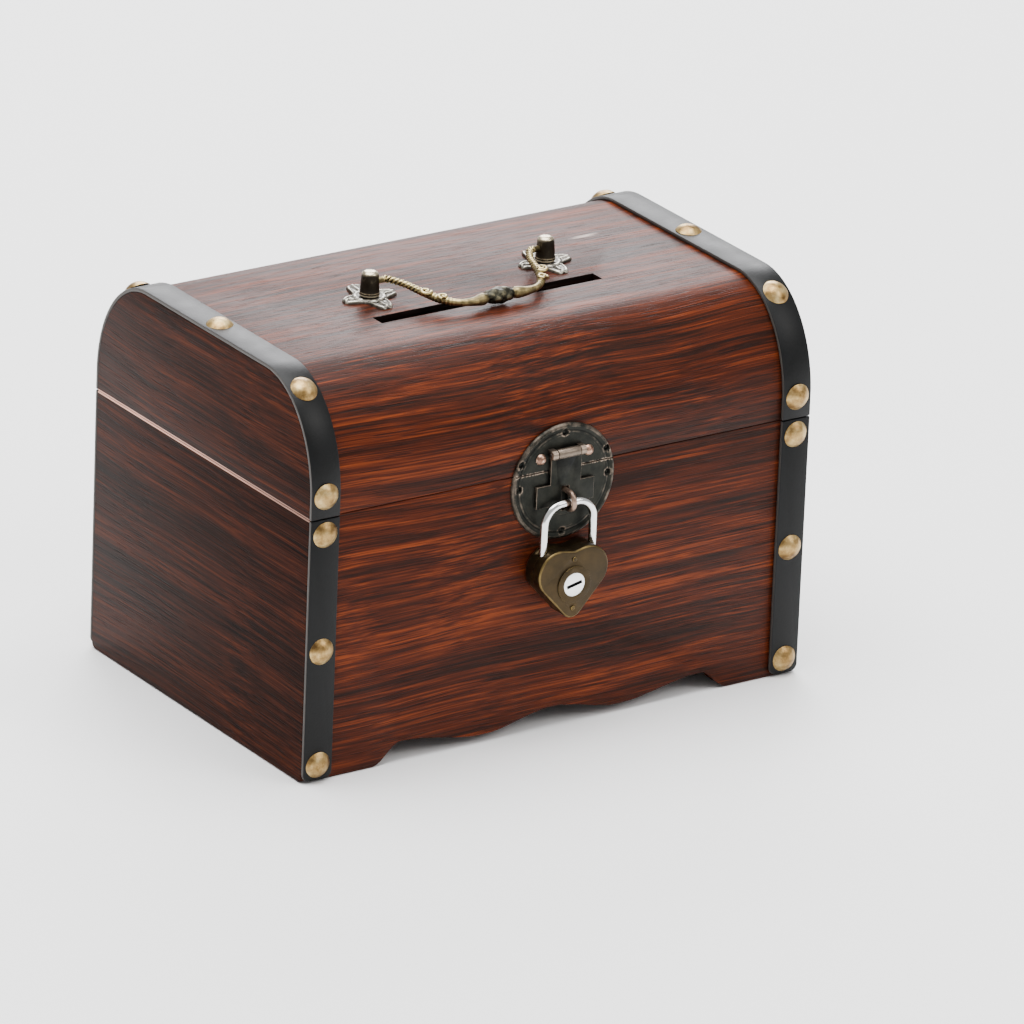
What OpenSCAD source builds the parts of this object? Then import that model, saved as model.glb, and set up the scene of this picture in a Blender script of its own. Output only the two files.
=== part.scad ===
// Wooden money box with a domed lid, leather-look straps, a hasp latch, a heart padlock and a bail handle.
// Millimetres. X runs along the front, -Y is the front, +Z is up.
// The origin is on the surface that the box stands on, under the middle of the whole object,
// from the padlock's front to the rear studs. The modules measure from the middle of the wood.

/* [Box] */
// Length along the front, over the end panels
box_l = 145; // [125:1:180]
// Depth of the wood, front face to back face
box_d = 96; // [84:1:120]
// Height of the wood, floor to the top of the lid
box_h = 100; // [94:1:125]
// Height at which the lid parts from the body
split_z = 68; // [60:0.5:70]
// Gap between the lid and the body when shut
seam_gap = 0.2; // [0.1:0.05:0.5]
// Thickness of the end panels
end_t = 5; // [4:0.5:8]
// Thickness of the front and back panels
panel_t = 4; // [3.5:0.5:6]
// Thickness of the bottom panel
bottom_t = 3; // [2:0.5:5]
// Height of the bottom panel's underside above the floor
bottom_z = 8; // [7:0.5:14]
// Radius of the lower corners of the end panels
foot_r = 1.5; // [0.5:0.5:3]

/* [Lid] */
// Thickness of the bent lid shell
shell_t = 3.5; // [3.5:0.5:5]
// How far the rounded shoulder reaches in from the front or back face
shoulder_reach = 21; // [16:1:28]
// How far the rounded shoulder drops from the top
shoulder_drop = 27; // [22:1:28]
// Length of the coin slot
slot_l = 64; // [30:1:70]
// Width of the coin slot
slot_w = 4.2; // [4:0.1:6]
// Distance of the coin slot in front of the handle posts
slot_ahead = 13.5; // [10:0.5:14.5]

/* [Scalloped edge] */
// Width of each foot of the front panel, from the end of the box
foot_w = 20.5; // [16:0.5:26]
// Length over which the edge steps up beside a foot
step_w = 8; // [5:0.5:10]
// Height of the highest points of the scallop
scallop_h = 5.2; // [3:0.1:6]
// Height of the two hanging lobes
lobe_h = 2; // [1:0.1:3]

/* [Straps] */
// Width of a strap
strap_w = 8.2; // [7.6:0.2:10]
// Thickness of a strap
strap_t = 1; // [0.6:0.1:1.5]
// Height of the lower end of a body strap
strap_z = 0.4; // [0:0.1:2]
// Radius of the lower corners of a body strap
strap_r = 2; // [0.5:0.5:3]

/* [Studs] */
// Diameter of a stud's domed head
stud_d = 6.8; // [5:0.1:7.4]
// Height of a stud's head
stud_h = 1.7; // [1:0.1:2.2]
// Diameter of a stud's shank
stud_shank_d = 1.2; // [0.8:0.1:1.6]
// Length of a stud's shank below its head
stud_shank_l = 7; // [4:0.5:9]
// Height of the lowest stud
stud_low_z = 4.4; // [4.2:0.1:7]
// Height of the middle stud
stud_mid_z = 34; // [20:1:46]
// Distance of a body stud below the split
stud_below_split = 4; // [4:0.1:6]
// Distance of a lid stud above the split
stud_above_split = 5.8; // [4.5:0.1:8]
// Place of the shoulder studs along the shoulder curve, in degrees from the face
stud_shoulder_deg = 61; // [45:1:75]

/* [Hinges] */
// Distance of each hinge from the middle of the box
hinge_x = 36; // [20:1:44]
// Length of a hinge along its pin
hinge_l = 18; // [14:1:24]
// Height of a leaf from the pin's axis to its far edge
leaf_h = 9; // [8:0.5:11]
// Thickness of a leaf
leaf_t = 0.7; // [0.5:0.1:0.8]
// Diameter of the rolled barrel
barrel_d = 2.6; // [2.2:0.1:3]
// Diameter of a hinge pin
hinge_pin_d = 1; // [0.8:0.1:1.2]

/* [Latch] */
// Diameter of the round latch plate
plate_d = 29.8; // [27:0.2:32]
// Thickness of the latch plate and the hasp
plate_t = 0.8; // [0.6:0.1:0.9]
// Distance of the plate's centre below the split
plate_drop = 3.4; // [2:0.2:5]
// Diameter of the empty nail holes in the plate
plate_hole_d = 1.5; // [1.2:0.1:2]
// Width of the hasp's neck
neck_w = 8.8; // [8:0.2:10]
// Width over the hasp's wings
wing_w = 16.6; // [13:0.2:18]
// Height of the hasp's pin above the split
hasp_up = 4.6; // [4:0.1:5]
// Distance from the hasp's pin to the top of the wings
neck_h = 7.9; // [7:0.1:9]
// Height of the wings
wing_h = 5.6; // [4:0.1:6]
// Distance from the hasp's pin to the end of its tongue
hasp_l = 16.2; // [15.8:0.1:18]
// Outer diameter of the hasp's sleeve and knuckles
sleeve_d = 2.5; // [2.2:0.1:2.6]
// Diameter of the hasp's pin
hasp_pin_d = 1.1; // [0.8:0.1:1.3]
// Distance from the hasp's pin down to the middle of the staple
staple_drop = 12; // [11.8:0.1:12.4]
// Wire diameter of the staple
staple_wire_d = 1.4; // [1:0.1:1.5]
// Distance between the staple's legs, centre to centre
staple_pitch = 4.4; // [4.2:0.1:4.6]
// How far the staple stands out of the plate
staple_out = 5.6; // [5.4:0.1:7]

/* [Handle] */
// Distance between the two posts
post_pitch = 51.2; // [44:0.2:60]
// Diameter of a post at its base
post_d = 5.1; // [4.6:0.1:6]
// Diameter of a post at its top
post_top_d = 4.2; // [3.8:0.1:4.6]
// Height of a post above its base plate
post_h = 6.2; // [6:0.1:8]
// Thickness of a base plate
rosette_t = 1; // [0.6:0.1:1.4]
// Reach of a base plate along the handle
rosette_x = 7.4; // [6:0.1:8]
// Reach of a base plate across the handle
rosette_y = 8.6; // [7:0.1:9.4]
// Height of the bail's pivots above the lid
pivot_h = 4.2; // [4.1:0.1:4.6]
// Diameter of the bail's end pins
bail_pin_d = 1.6; // [1.2:0.1:1.8]
// How far the bail reaches from its pivots
bail_reach = 20.2; // [17:0.2:22]
// Angle of the resting bail below level
bail_rest_deg = 6; // [3:0.5:6.5]
// Diameter of the post's threaded shank
post_shank_d = 2.6; // [2:0.1:3]
// Width across flats of the nut
nut_af = 5; // [4.5:0.1:6]
// Thickness of the nut
nut_t = 2; // [1.5:0.1:2.5]

/* [Padlock] */
// Width of the heart-shaped case
case_w = 20.2; // [19.6:0.1:21]
// Height of the case from its tip to its lobes
case_h = 18; // [17.4:0.1:19]
// Thickness of the case
case_t = 6.4; // [6:0.1:7]
// Wire diameter of the shackle
shackle_wire_d = 2; // [1.8:0.1:2.1]
// Distance between the shackle's legs
shackle_pitch = 14.2; // [13.8:0.1:14.4]
// Bend radius of the shackle's corners
shackle_bend_r = 5; // [4:0.1:6]
// Height of the shackle's bow above the case
shackle_rise = 11; // [10:0.1:12]
// Diameter of the key plug
plug_d = 6; // [5:0.1:6.4]
// Diameter of the raised ring round the plug
ring_d = 9.4; // [8.6:0.1:10]
// Angle of the keyway from level
keyway_deg = 12.5; // [0:0.5:30]
// How far the case drops when it is unlocked
case_travel = 4; // [3.8:0.1:4.2]
// How far the locking bolt draws back
bolt_travel = 3.4; // [3.3:0.1:3.6]

/* [Fits] */
// Radial clearance of a turning pin
pin_fit = 0.05; // [0.03:0.01:0.08]
// Side clearance between knuckles
side_fit = 0.15; // [0.1:0.05:0.3]
// Gap behind the hasp and other parts that pass a face
face_fit = 0.1; // [0.05:0.05:0.15]
// Radial clearance round the shackle's legs
leg_fit = 0.15; // [0.1:0.05:0.25]

/* [Hidden] */
$fn = 48;

wood = "#6b3a28";
wood_end = "#5a3325";
leather = "#1d1d20";
stud_brass = "#c2b183";
bronze = "#45433c";
case_brass = "#7d6a3f";
nickel = "#d9d9d6";
steel = "#8b8d90";

inner_l = box_l - 2*end_t;
half_d = box_d/2;
lid_z = split_z + seam_gap;
arc_steps = 14;
strap_x = box_l/2 - strap_w/2;
// How far a bore runs past the faces that it cuts
bore_extra = 1;
// How far joined shapes run into each other
overlap = 1;

// ---- lid outline, in (y, z) ----

// A point of the front shoulder, deg from the face (0) to the top (90), moved out by off
function shoulder(deg, off) =
    let (n = [-cos(deg)/shoulder_reach, sin(deg)/shoulder_drop])
    [-(half_d - shoulder_reach) - shoulder_reach*cos(deg), box_h - shoulder_drop + shoulder_drop*sin(deg)]
    + off*n/norm(n);

// Outward normal of the front shoulder, as an angle above level
function shoulder_tilt(deg) = atan2(sin(deg)/shoulder_drop, cos(deg)/shoulder_reach);

// The lid's outline from the front lower edge over the top to the back lower edge
function lid_outline(off) =
    let (front = [for (i = [0:arc_steps]) shoulder(90*i/arc_steps, off)])
    concat([[-(half_d + off), lid_z]], front, [for (i = [arc_steps:-1:0]) [-front[i][0], front[i][1]]],
        [[half_d + off, lid_z]]);

// Half of a band between two offsets, ready to extrude
function lid_band(outer, inner) =
    let (o = lid_outline(outer), n = lid_outline(inner))
    concat(o, [for (i = [len(n) - 1:-1:0]) n[i]]);

// Extrude a (y, z) outline along X from x0 for a length
module along_x(x0, length)
    translate([x0, 0, 0])
        rotate([90, 0, 90])
            linear_extrude(length)
                children();

// ---- wooden panels ----

module end_outline()
    union() {
        translate([-half_d, foot_r])
            square([box_d, split_z - foot_r]);
        translate([-half_d + foot_r, 0])
            square([box_d - 2*foot_r, foot_r + overlap]);
        for (s = [-1, 1])
            translate([s*(half_d - foot_r), foot_r])
                circle(foot_r);
    }

module body_end(side)
    color(wood_end)
        difference() {
            along_x(side < 0 ? -box_l/2 : box_l/2 - end_t, end_t)
                end_outline();
            body_stud_holes(side);
        }

// Height of the front panel's lower edge at a distance x from the middle
scallop_x = box_l/2 - foot_w;
rise_x = scallop_x - step_w;
lobe_x = rise_x*0.45;
function scallop(x) =
    x < lobe_x ? lobe_h + (scallop_h - lobe_h)*(1 + cos(180*x/lobe_x))/2
    : x < rise_x ? lobe_h + (scallop_h - lobe_h)*(1 - cos(180*(x - lobe_x)/(rise_x - lobe_x)))/2
    : x < scallop_x ? scallop_h*(1 + cos(180*(x - rise_x)/step_w))/2
    : 0;

scallop_steps = 60;
module body_front_panel()
    color(wood)
        difference() {
            translate([0, -half_d + panel_t, 0])
                rotate([90, 0, 0])
                    linear_extrude(panel_t)
                        polygon(concat(
                            [[inner_l/2, split_z], [-inner_l/2, split_z], [-inner_l/2, 0]],
                            [for (i = [-scallop_steps:scallop_steps])
                                let (x = scallop_x*i/scallop_steps) [x, scallop(abs(x))]],
                            [[inner_l/2, 0]]));
            staple_legs();
            clinch_relief();
        }

module body_back_panel()
    color(wood)
        difference() {
            translate([-inner_l/2, half_d - panel_t, 0])
                cube([inner_l, panel_t, split_z]);
            hinge_nail_shanks(-1);
        }

module body_bottom_panel()
    color(wood)
        translate([-inner_l/2, -half_d + panel_t, bottom_z])
            cube([inner_l, box_d - 2*panel_t, bottom_t]);

module lid_end(side)
    color(wood_end)
        difference() {
            along_x(side < 0 ? -box_l/2 : box_l/2 - end_t, end_t)
                polygon(lid_outline(0));
            lid_stud_holes(side);
        }

module lid_shell()
    color(wood)
        difference() {
            along_x(-inner_l/2, inner_l)
                polygon(lid_band(0, -shell_t));
            translate([-slot_l/2, -slot_ahead - slot_w/2, box_h - shell_t - bore_extra])
                cube([slot_l, slot_w, shell_t + 2*bore_extra]);
            for (s = [-1, 1])
                translate([s*post_pitch/2, 0, box_h - shell_t - bore_extra])
                    cylinder(d = post_shank_d, h = shell_t + 2*bore_extra);
            latch_nail_shanks();
            hinge_nail_shanks(1);
        }

// ---- straps ----

// Body strap on the front (face -1) or back (face 1) at one end (side)
module body_strap(side, face)
    color(leather)
        difference() {
            translate([side*strap_x, face > 0 ? half_d + strap_t : -half_d, strap_z])
                rotate([90, 0, 0])
                    linear_extrude(strap_t)
                        union() {
                            translate([-strap_w/2, strap_r])
                                square([strap_w, split_z - strap_z - strap_r]);
                            translate([-strap_w/2 + strap_r, 0])
                                square([strap_w - 2*strap_r, strap_r + overlap]);
                            for (s = [-1, 1])
                                translate([s*(strap_w/2 - strap_r), strap_r])
                                    circle(strap_r);
                        }
            body_stud_holes(side);
        }

module lid_strap(side)
    color(leather)
        difference() {
            along_x(side*strap_x - strap_w/2, strap_w)
                polygon(lid_band(strap_t, 0));
            lid_stud_holes(side);
        }

// ---- studs ----

stud_heights = [stud_low_z, stud_mid_z, split_z - stud_below_split];
lid_stud_z = split_z + stud_above_split;

// A domed stud standing on z = 0, its shank below
dome_r = (pow(stud_d/2, 2) + pow(stud_h, 2))/(2*stud_h);
module stud()
    union() {
        intersection() {
            translate([0, 0, stud_h - dome_r])
                sphere(dome_r);
            cylinder(d = stud_d + overlap, h = stud_h + overlap);
        }
        stud_shank();
    }

// The shank runs a little way up inside the head
stud_shank_up = 0.5;
module stud_shank()
    translate([0, 0, -stud_shank_l])
        cylinder(d = stud_shank_d, h = stud_shank_l + stud_shank_up);

// Put a child at each body stud of one end, standing on the strap
module at_body_studs(side)
    for (face = [-1, 1], z = stud_heights)
        translate([side*strap_x, face*(half_d + strap_t), z])
            rotate([-face*90, 0, 0])
                children();

// Put a child at each lid stud of one end, standing on the strap.
// The strap's shoulder is made of short flats, so the shoulder studs stand a hair proud of the true curve.
lid_stud_lift = 0.02;
module at_lid_studs(side)
    translate([side*strap_x, 0, 0]) {
        translate([0, 0, box_h + strap_t])
            children();
        for (face = [-1, 1]) {
            translate([0, face*(half_d + strap_t), lid_stud_z])
                rotate([-face*90, 0, 0])
                    children();
            p = shoulder(stud_shoulder_deg, strap_t + lid_stud_lift);
            translate([0, -face*p[0], p[1]])
                rotate([-face*(90 - shoulder_tilt(stud_shoulder_deg)), 0, 0])
                    children();
        }
    }

module body_stud_holes(side) at_body_studs(side) stud_shank();
module lid_stud_holes(side) at_lid_studs(side) stud_shank();
module body_studs(side) color(stud_brass) at_body_studs(side) stud();
module lid_studs(side) color(stud_brass) at_lid_studs(side) stud();

// ---- rear hinges ----

hinge_y = half_d + barrel_d/2 + pin_fit;
hinge_z = split_z + seam_gap/2;
knuckle_l = hinge_l/3;
hinge_nail_x = hinge_l/3;
// The nails sit a little past the middle of each leaf
hinge_nail_z = leaf_h*0.62;

// A leaf's plate with its knuckles: up is 1 for the lid leaf and -1 for the body leaf
module hinge_leaf(side, up) {
    spans = up > 0 ? [[-knuckle_l/2 + side_fit, knuckle_l/2 - side_fit]]
        : [[-hinge_l/2, -knuckle_l/2], [knuckle_l/2, hinge_l/2]];
    bore_d = up > 0 ? hinge_pin_d + 2*pin_fit : hinge_pin_d;
    web_h = barrel_d/2 + side_fit;
    color(bronze)
        translate([side*hinge_x, 0, 0])
            difference() {
                union() {
                    translate([-hinge_l/2, half_d, hinge_z + (up > 0 ? web_h : -leaf_h)])
                        cube([hinge_l, leaf_t, leaf_h - web_h]);
                    for (s = spans) {
                        translate([s[0], half_d + pin_fit, hinge_z - (up > 0 ? 0 : web_h)])
                            cube([s[1] - s[0], leaf_t - pin_fit, web_h]);
                        translate([s[0], hinge_y, hinge_z])
                            rotate([0, 90, 0])
                                cylinder(d = barrel_d, h = s[1] - s[0]);
                    }
                }
                translate([-hinge_l/2 - bore_extra, hinge_y, hinge_z])
                    rotate([0, 90, 0])
                        cylinder(d = bore_d, h = hinge_l + 2*bore_extra);
                for (x = [-hinge_nail_x, hinge_nail_x])
                    translate([x, 0, hinge_z + up*hinge_nail_z])
                        nail_bore(1, leaf_t);
            }
}

module hinge_pin(side)
    color(steel)
        translate([side*hinge_x - hinge_l/2, hinge_y, hinge_z])
            rotate([0, 90, 0])
                cylinder(d = hinge_pin_d, h = hinge_l);

// ---- round-head nails ----

nail_head_d = 2.5;
nail_head_h = 1;
nail_shank_d = 1;
nail_l = 3.2;
nail_r = (pow(nail_head_d/2, 2) + pow(nail_head_h, 2))/(2*nail_head_h);
nail_shank_up = 0.3;

// A nail standing on z = 0 with its shank below
module nail()
    union() {
        intersection() {
            translate([0, 0, nail_head_h - nail_r])
                sphere(nail_r);
            cylinder(d = nail_head_d + overlap, h = nail_head_h + overlap);
        }
        translate([0, 0, -nail_l])
            cylinder(d = nail_shank_d, h = nail_l + nail_shank_up);
    }

// Hole for a nail that stands on a sheet, through the back (face 1) or the front (face -1)
module nail_bore(face, sheet)
    translate([0, face*(half_d + sheet + bore_extra), 0])
        rotate([face*90, 0, 0])
            cylinder(d = nail_shank_d, h = nail_l + bore_extra);

module hinge_nail_shanks(up)
    for (side = [-1, 1], x = [-hinge_nail_x, hinge_nail_x])
        translate([side*hinge_x + x, 0, hinge_z + up*hinge_nail_z])
            nail_bore(1, leaf_t);

module hinge_nails(up)
    color(stud_brass)
        for (side = [-1, 1], x = [-hinge_nail_x, hinge_nail_x])
            translate([side*hinge_x + x, half_d + leaf_t, hinge_z + up*hinge_nail_z])
                rotate([-90, 0, 0])
                    nail();

// ---- latch ----

plate_y = -half_d - plate_t;
plate_z = split_z - plate_drop;
hasp_z = split_z + hasp_up;
hasp_y = plate_y - face_fit - sleeve_d/2;
// The sleeve is shorter than the neck is wide, and the knuckles beside it end just past the neck
sleeve_l = neck_w - 2.6;
knuckle_out = neck_w/2 + 0.5;
staple_z = hasp_z - staple_drop;
// The two nails stand beside the knuckles, a little below the hasp's pin
latch_nail_x = knuckle_out + nail_head_d/2 + 0.75;
latch_nail_z = hasp_z - 1.1;
// Places of the empty nail holes, as shares of the plate's radius
plate_holes = [[-0.83, 0.43], [0.83, 0.43], [0, 0.85], [-0.86, 0], [0.86, 0], [0, -0.86]];

// The round plate with its empty nail holes
module plate_disc()
    difference() {
        circle(d = plate_d);
        for (h = plate_holes)
            translate(h*plate_d/2)
                circle(d = plate_hole_d);
    }

module plate_half(z0, z1)
    intersection() {
        translate([0, plate_y + plate_t, plate_z])
            rotate([90, 0, 0])
                linear_extrude(plate_t)
                    plate_disc();
        translate([-plate_d, -box_d, z0])
            cube([2*plate_d, box_d, z1 - z0]);
    }

module latch_top_plate()
    color(bronze)
        difference() {
            union() {
                plate_half(lid_z, lid_z + plate_d);
                for (s = [-1, 1]) {
                    x0 = s > 0 ? sleeve_l/2 + side_fit : -knuckle_out;
                    w = knuckle_out - sleeve_l/2 - side_fit;
                    translate([x0, hasp_y, hasp_z])
                        rotate([0, 90, 0])
                            cylinder(d = sleeve_d, h = w);
                    translate([x0, hasp_y, hasp_z])
                        cube([w, plate_y - hasp_y + plate_t/2, sleeve_d/2]);
                }
            }
            translate([-knuckle_out - bore_extra, hasp_y, hasp_z])
                rotate([0, 90, 0])
                    cylinder(d = hasp_pin_d, h = 2*(knuckle_out + bore_extra));
            latch_nail_shanks();
        }

module latch_bottom_plate()
    color(bronze)
        difference() {
            plate_half(split_z - plate_d, split_z);
            staple_legs();
        }

module latch_nail_shanks()
    for (s = [-1, 1])
        translate([s*latch_nail_x, 0, latch_nail_z])
            nail_bore(-1, plate_t);

module latch_nails()
    color(stud_brass)
        for (s = [-1, 1])
            translate([s*latch_nail_x, plate_y, latch_nail_z])
                rotate([90, 0, 0])
                    nail();

// The hasp's flat outline in (x, z), measured down from its pin
tongue_w = neck_w;
tongue_end_r = 0.62*tongue_w;
module hasp_outline()
    union() {
        translate([-neck_w/2, -neck_h - overlap])
            square([neck_w, neck_h - sleeve_d/2 - face_fit + overlap]);
        translate([-sleeve_l/2, -neck_h])
            square([sleeve_l, neck_h]);
        translate([-wing_w/2, -neck_h - wing_h])
            square([wing_w, wing_h]);
        intersection() {
            translate([-tongue_w/2, -hasp_l])
                square([tongue_w, hasp_l - neck_h]);
            translate([0, -hasp_l + tongue_end_r])
                circle(tongue_end_r);
        }
    }

// The slot clears the staple by a quarter of a millimetre at its ends and a little more at its sides
hasp_slot_w = staple_wire_d + 0.6;
hasp_slot_h = staple_pitch + staple_wire_d + 0.5;
module latch_hasp()
    color(bronze)
        difference() {
            union() {
                translate([0, plate_y - face_fit, hasp_z])
                    rotate([90, 0, 0])
                        linear_extrude(plate_t)
                            hasp_outline();
                translate([-sleeve_l/2, hasp_y, hasp_z])
                    rotate([0, 90, 0])
                        cylinder(d = sleeve_d, h = sleeve_l);
            }
            translate([-hasp_slot_w/2, hasp_y - sleeve_d, staple_z - hasp_slot_h/2])
                cube([hasp_slot_w, 2*sleeve_d, hasp_slot_h]);
            translate([-sleeve_l/2 - bore_extra, hasp_y, hasp_z])
                rotate([0, 90, 0])
                    cylinder(d = hasp_pin_d + 2*pin_fit, h = sleeve_l + 2*bore_extra);
        }

module latch_hasp_pin()
    color(steel)
        translate([-knuckle_out, hasp_y, hasp_z])
            rotate([0, 90, 0])
                cylinder(d = hasp_pin_d, h = 2*knuckle_out);

// The staple: a half ring in front, two legs through the plate and the panel, and ends bent over inside
staple_bend_y = plate_y - staple_out + staple_pitch/2 + staple_wire_d/2;
clinch_r = staple_wire_d*0.8;
clinch_gap = 0.02;
clinch_y = -half_d + panel_t + staple_wire_d/2 + clinch_gap;
clinch_l = 2.5;
module staple_legs()
    for (s = [-1, 1])
        translate([0, staple_bend_y, staple_z + s*staple_pitch/2])
            rotate([-90, 0, 0])
                cylinder(d = staple_wire_d, h = clinch_y - clinch_r - staple_bend_y);

// A quarter or half ring of wire, from +X towards +Y
module wire_bend(r, d, sweep)
    rotate_extrude(angle = sweep)
        translate([r, 0])
            circle(d = d);

module latch_staple()
    color(bronze)
        union() {
            staple_legs();
            translate([0, staple_bend_y, staple_z])
                rotate([180, -90, 0])
                    wire_bend(staple_pitch/2, staple_wire_d, 180);
            for (s = [-1, 1])
                translate([0, clinch_y - clinch_r, staple_z + s*(staple_pitch/2 + clinch_r)]) {
                    rotate([0, s*90, 0])
                        wire_bend(clinch_r, staple_wire_d, 90);
                    translate([0, clinch_r, 0])
                        rotate([s > 0 ? 0 : 180, 0, 0])
                            cylinder(d = staple_wire_d, h = clinch_l);
                }
        }

// The bends inside start in the panel's thickness, so the panel is relieved for them
clinch_fit = 0.1;
module clinch_relief()
    for (s = [-1, 1]) {
        low_z = staple_z + s*staple_pitch/2 - staple_wire_d/2 - (s > 0 ? 0 : clinch_r);
        translate([-staple_wire_d/2 - clinch_fit, clinch_y - clinch_r, low_z])
            cube([staple_wire_d + 2*clinch_fit, clinch_r + bore_extra, clinch_r + staple_wire_d]);
    }

// ---- handle ----

// Outline of an ornamental base plate: four forked ears round a disc. ear_top is the ear's own highest value.
ear_steps = 72;
rosette_disc_r = 4.4;
fork_depth = 0.16;
fork_power = 60;
function ear(a) = let (c = abs(cos(2*a))) pow(c, 3)*(1 - fork_depth*pow(c, fork_power));
ear_top = max([for (i = [0:ear_steps - 1]) ear(360*i/ear_steps)]);
function rosette_point(a) =
    let (tip = abs(cos(a)) > abs(sin(a)) ? rosette_x : rosette_y,
        r = rosette_disc_r + (tip - rosette_disc_r)*ear(a)/ear_top)
    [r*cos(a), r*sin(a)];

module rosette(side)
    color(bronze)
        translate([side*post_pitch/2, 0, box_h])
            difference() {
                linear_extrude(rosette_t)
                    polygon([for (i = [0:ear_steps - 1]) rosette_point(360*i/ear_steps)]);
                translate([0, 0, -bore_extra])
                    cylinder(d = post_shank_d, h = rosette_t + 2*bore_extra);
            }

post_base_z = box_h + rosette_t;
post_dome_h = 0.8;
pivot_z = box_h + pivot_h;
dome_post_r = (pow(post_top_d/2, 2) + pow(post_dome_h, 2))/(2*post_dome_h);
shank_past_nut = 0.6;
shank_end_z = box_h - shell_t - nut_t - shank_past_nut;
pivot_hole_past = 0.6;

module post(side)
    color(bronze)
        difference() {
            translate([side*post_pitch/2, 0, 0])
                union() {
                    translate([0, 0, post_base_z])
                        cylinder(d1 = post_d, d2 = post_top_d, h = post_h - post_dome_h);
                    intersection() {
                        translate([0, 0, post_base_z + post_h - dome_post_r])
                            sphere(dome_post_r);
                        translate([0, 0, post_base_z + post_h - post_dome_h])
                            cylinder(d = post_top_d, h = post_dome_h + overlap);
                    }
                    translate([0, 0, shank_end_z])
                        cylinder(d = post_shank_d, h = post_base_z - shank_end_z);
                }
            translate([side*(post_pitch/2 - post_d/2 - bore_extra), 0, pivot_z])
                rotate([0, side*90, 0])
                    cylinder(d = bail_pin_d + 2*pin_fit, h = post_d/2 + bore_extra + pivot_hole_past);
        }

module handle_nuts()
    color(steel)
        for (s = [-1, 1])
            translate([s*post_pitch/2, 0, box_h - shell_t - nut_t])
                difference() {
                    cylinder(d = nut_af/cos(30), h = nut_t, $fn = 6);
                    translate([0, 0, -bore_extra])
                        cylinder(d = post_shank_d, h = nut_t + 2*bore_extra);
                }

// The bail's centre line on one side as [inward, share of the reach, radius], from its shank to the middle
bail_span = post_pitch/2;
bail_knots = [
    [3.6, 0, 1.1],
    [4.5, 0.005, 1.1],
    [5.7, 0.07, 1],
    [7.5, 0.24, 1],
    [8.9, 0.5, 1.1],
    [11, 0.78, 1.45],
    [14, 0.96, 1.2],
    [18.4, 1, 1.2],
    [22, 0.95, 1.6],
    [bail_span, 0.9, 1.8]
];
bail_steps = 4;

// A point on the smooth curve through four knots
function curve(a, b, c, d, t) =
    0.5*(2*b + (c - a)*t + (2*a - 5*b + 4*c - d)*t*t + (3*b - a - 3*c + d)*t*t*t);
function knot(i) = bail_knots[max(0, min(i, len(bail_knots) - 1))];
function past_middle(p) = [2*bail_span - p[0], p[1], p[2]];
function knot_after(i) = i < len(bail_knots) ? knot(i) : past_middle(knot(2*len(bail_knots) - 2 - i));
bail_half = [for (i = [0:len(bail_knots) - 2], k = [0:bail_steps - 1])
    curve(knot(i - 1), knot(i), knot(i + 1), knot_after(i + 2), k/bail_steps)];
bail_line = concat(bail_half, [knot(len(bail_knots) - 1)],
    [for (i = [len(bail_half) - 1:-1:0]) past_middle(bail_half[i])]);

// A closed tube through rings of points, each ring a list of the same length
module tube(rings) {
    m = len(rings[0]);
    n = len(rings);
    skin = [for (i = [0:n - 2], k = [0:m - 1])
        let (k2 = (k + 1) % m, a = i*m, b = a + m)
        each [[a + k, b + k, a + k2], [a + k2, b + k, b + k2]]];
    start = [for (k = [0:m - 1]) k];
    end = [for (k = [m - 1:-1:0]) (n - 1)*m + k];
    polyhedron([for (ring = rings) each ring], concat(skin, [start, end]));
}

// The bail's rings, square to its centre line in the bail's own plane
tube_sides = 10;
function bail_xy(p) = [-bail_span + p[0], -p[1]*bail_reach];
function bail_rings(line) =
    let (n = len(line))
    [for (i = [0:n - 1])
        let (c = bail_xy(line[i]), t = bail_xy(line[min(i + 1, n - 1)]) - bail_xy(line[max(i - 1, 0)]),
            side = [-t[1], t[0]]/norm(t), r = line[i][2])
        [for (k = [0:tube_sides - 1])
            let (a = 360*k/tube_sides)
            [c[0] + r*cos(a)*side[0], c[1] + r*cos(a)*side[1], r*sin(a)]]];

bail_in = 1.2;
bail_shank_l = 2.7;
module handle_bail()
    color(bronze)
        translate([0, 0, pivot_z])
            rotate([bail_rest_deg, 0, 0])
                union() {
                    tube(bail_rings(bail_line));
                    for (s = [-1, 1])
                        translate([s*(bail_span - bail_in), 0, 0])
                            rotate([0, -s*90, 0])
                                cylinder(d = bail_pin_d, h = bail_shank_l);
                }

// ---- padlock ----

// The shackle hangs on the staple's lower leg; its bow's middle is the padlock's pivot
bow_gap_y = 0.35;
bow_gap_z = 0.05;
bow_y = plate_y - staple_out + staple_wire_d + shackle_wire_d/2 + bow_gap_y;
bow_z = staple_z - staple_pitch/2 + staple_wire_d/2 + shackle_wire_d/2 + bow_gap_z;
case_top_z = bow_z - shackle_rise;
tip_z = case_top_z - case_h;
lobe_r = 6;
lobe_x0 = case_w/2 - lobe_r;
tip_r = 3;
// The plug sits just below the middle of the case
plug_z = tip_z + case_h*0.49;
case_front_y = bow_y - case_t/2;
leg_x = shackle_pitch/2;
shackle_r = shackle_wire_d/2;
leg_hole_r = shackle_r + leg_fit;

// Angle of the straight side, where it leaves the lobe and meets the tip
side_vec = [lobe_x0, case_top_z - lobe_r - (tip_z + tip_r)];
side_deg = atan2(side_vec[1], side_vec[0]) - acos((tip_r - lobe_r)/norm(side_vec));
notch_depth = 0.7;
lobe_end_deg = 100;

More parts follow.
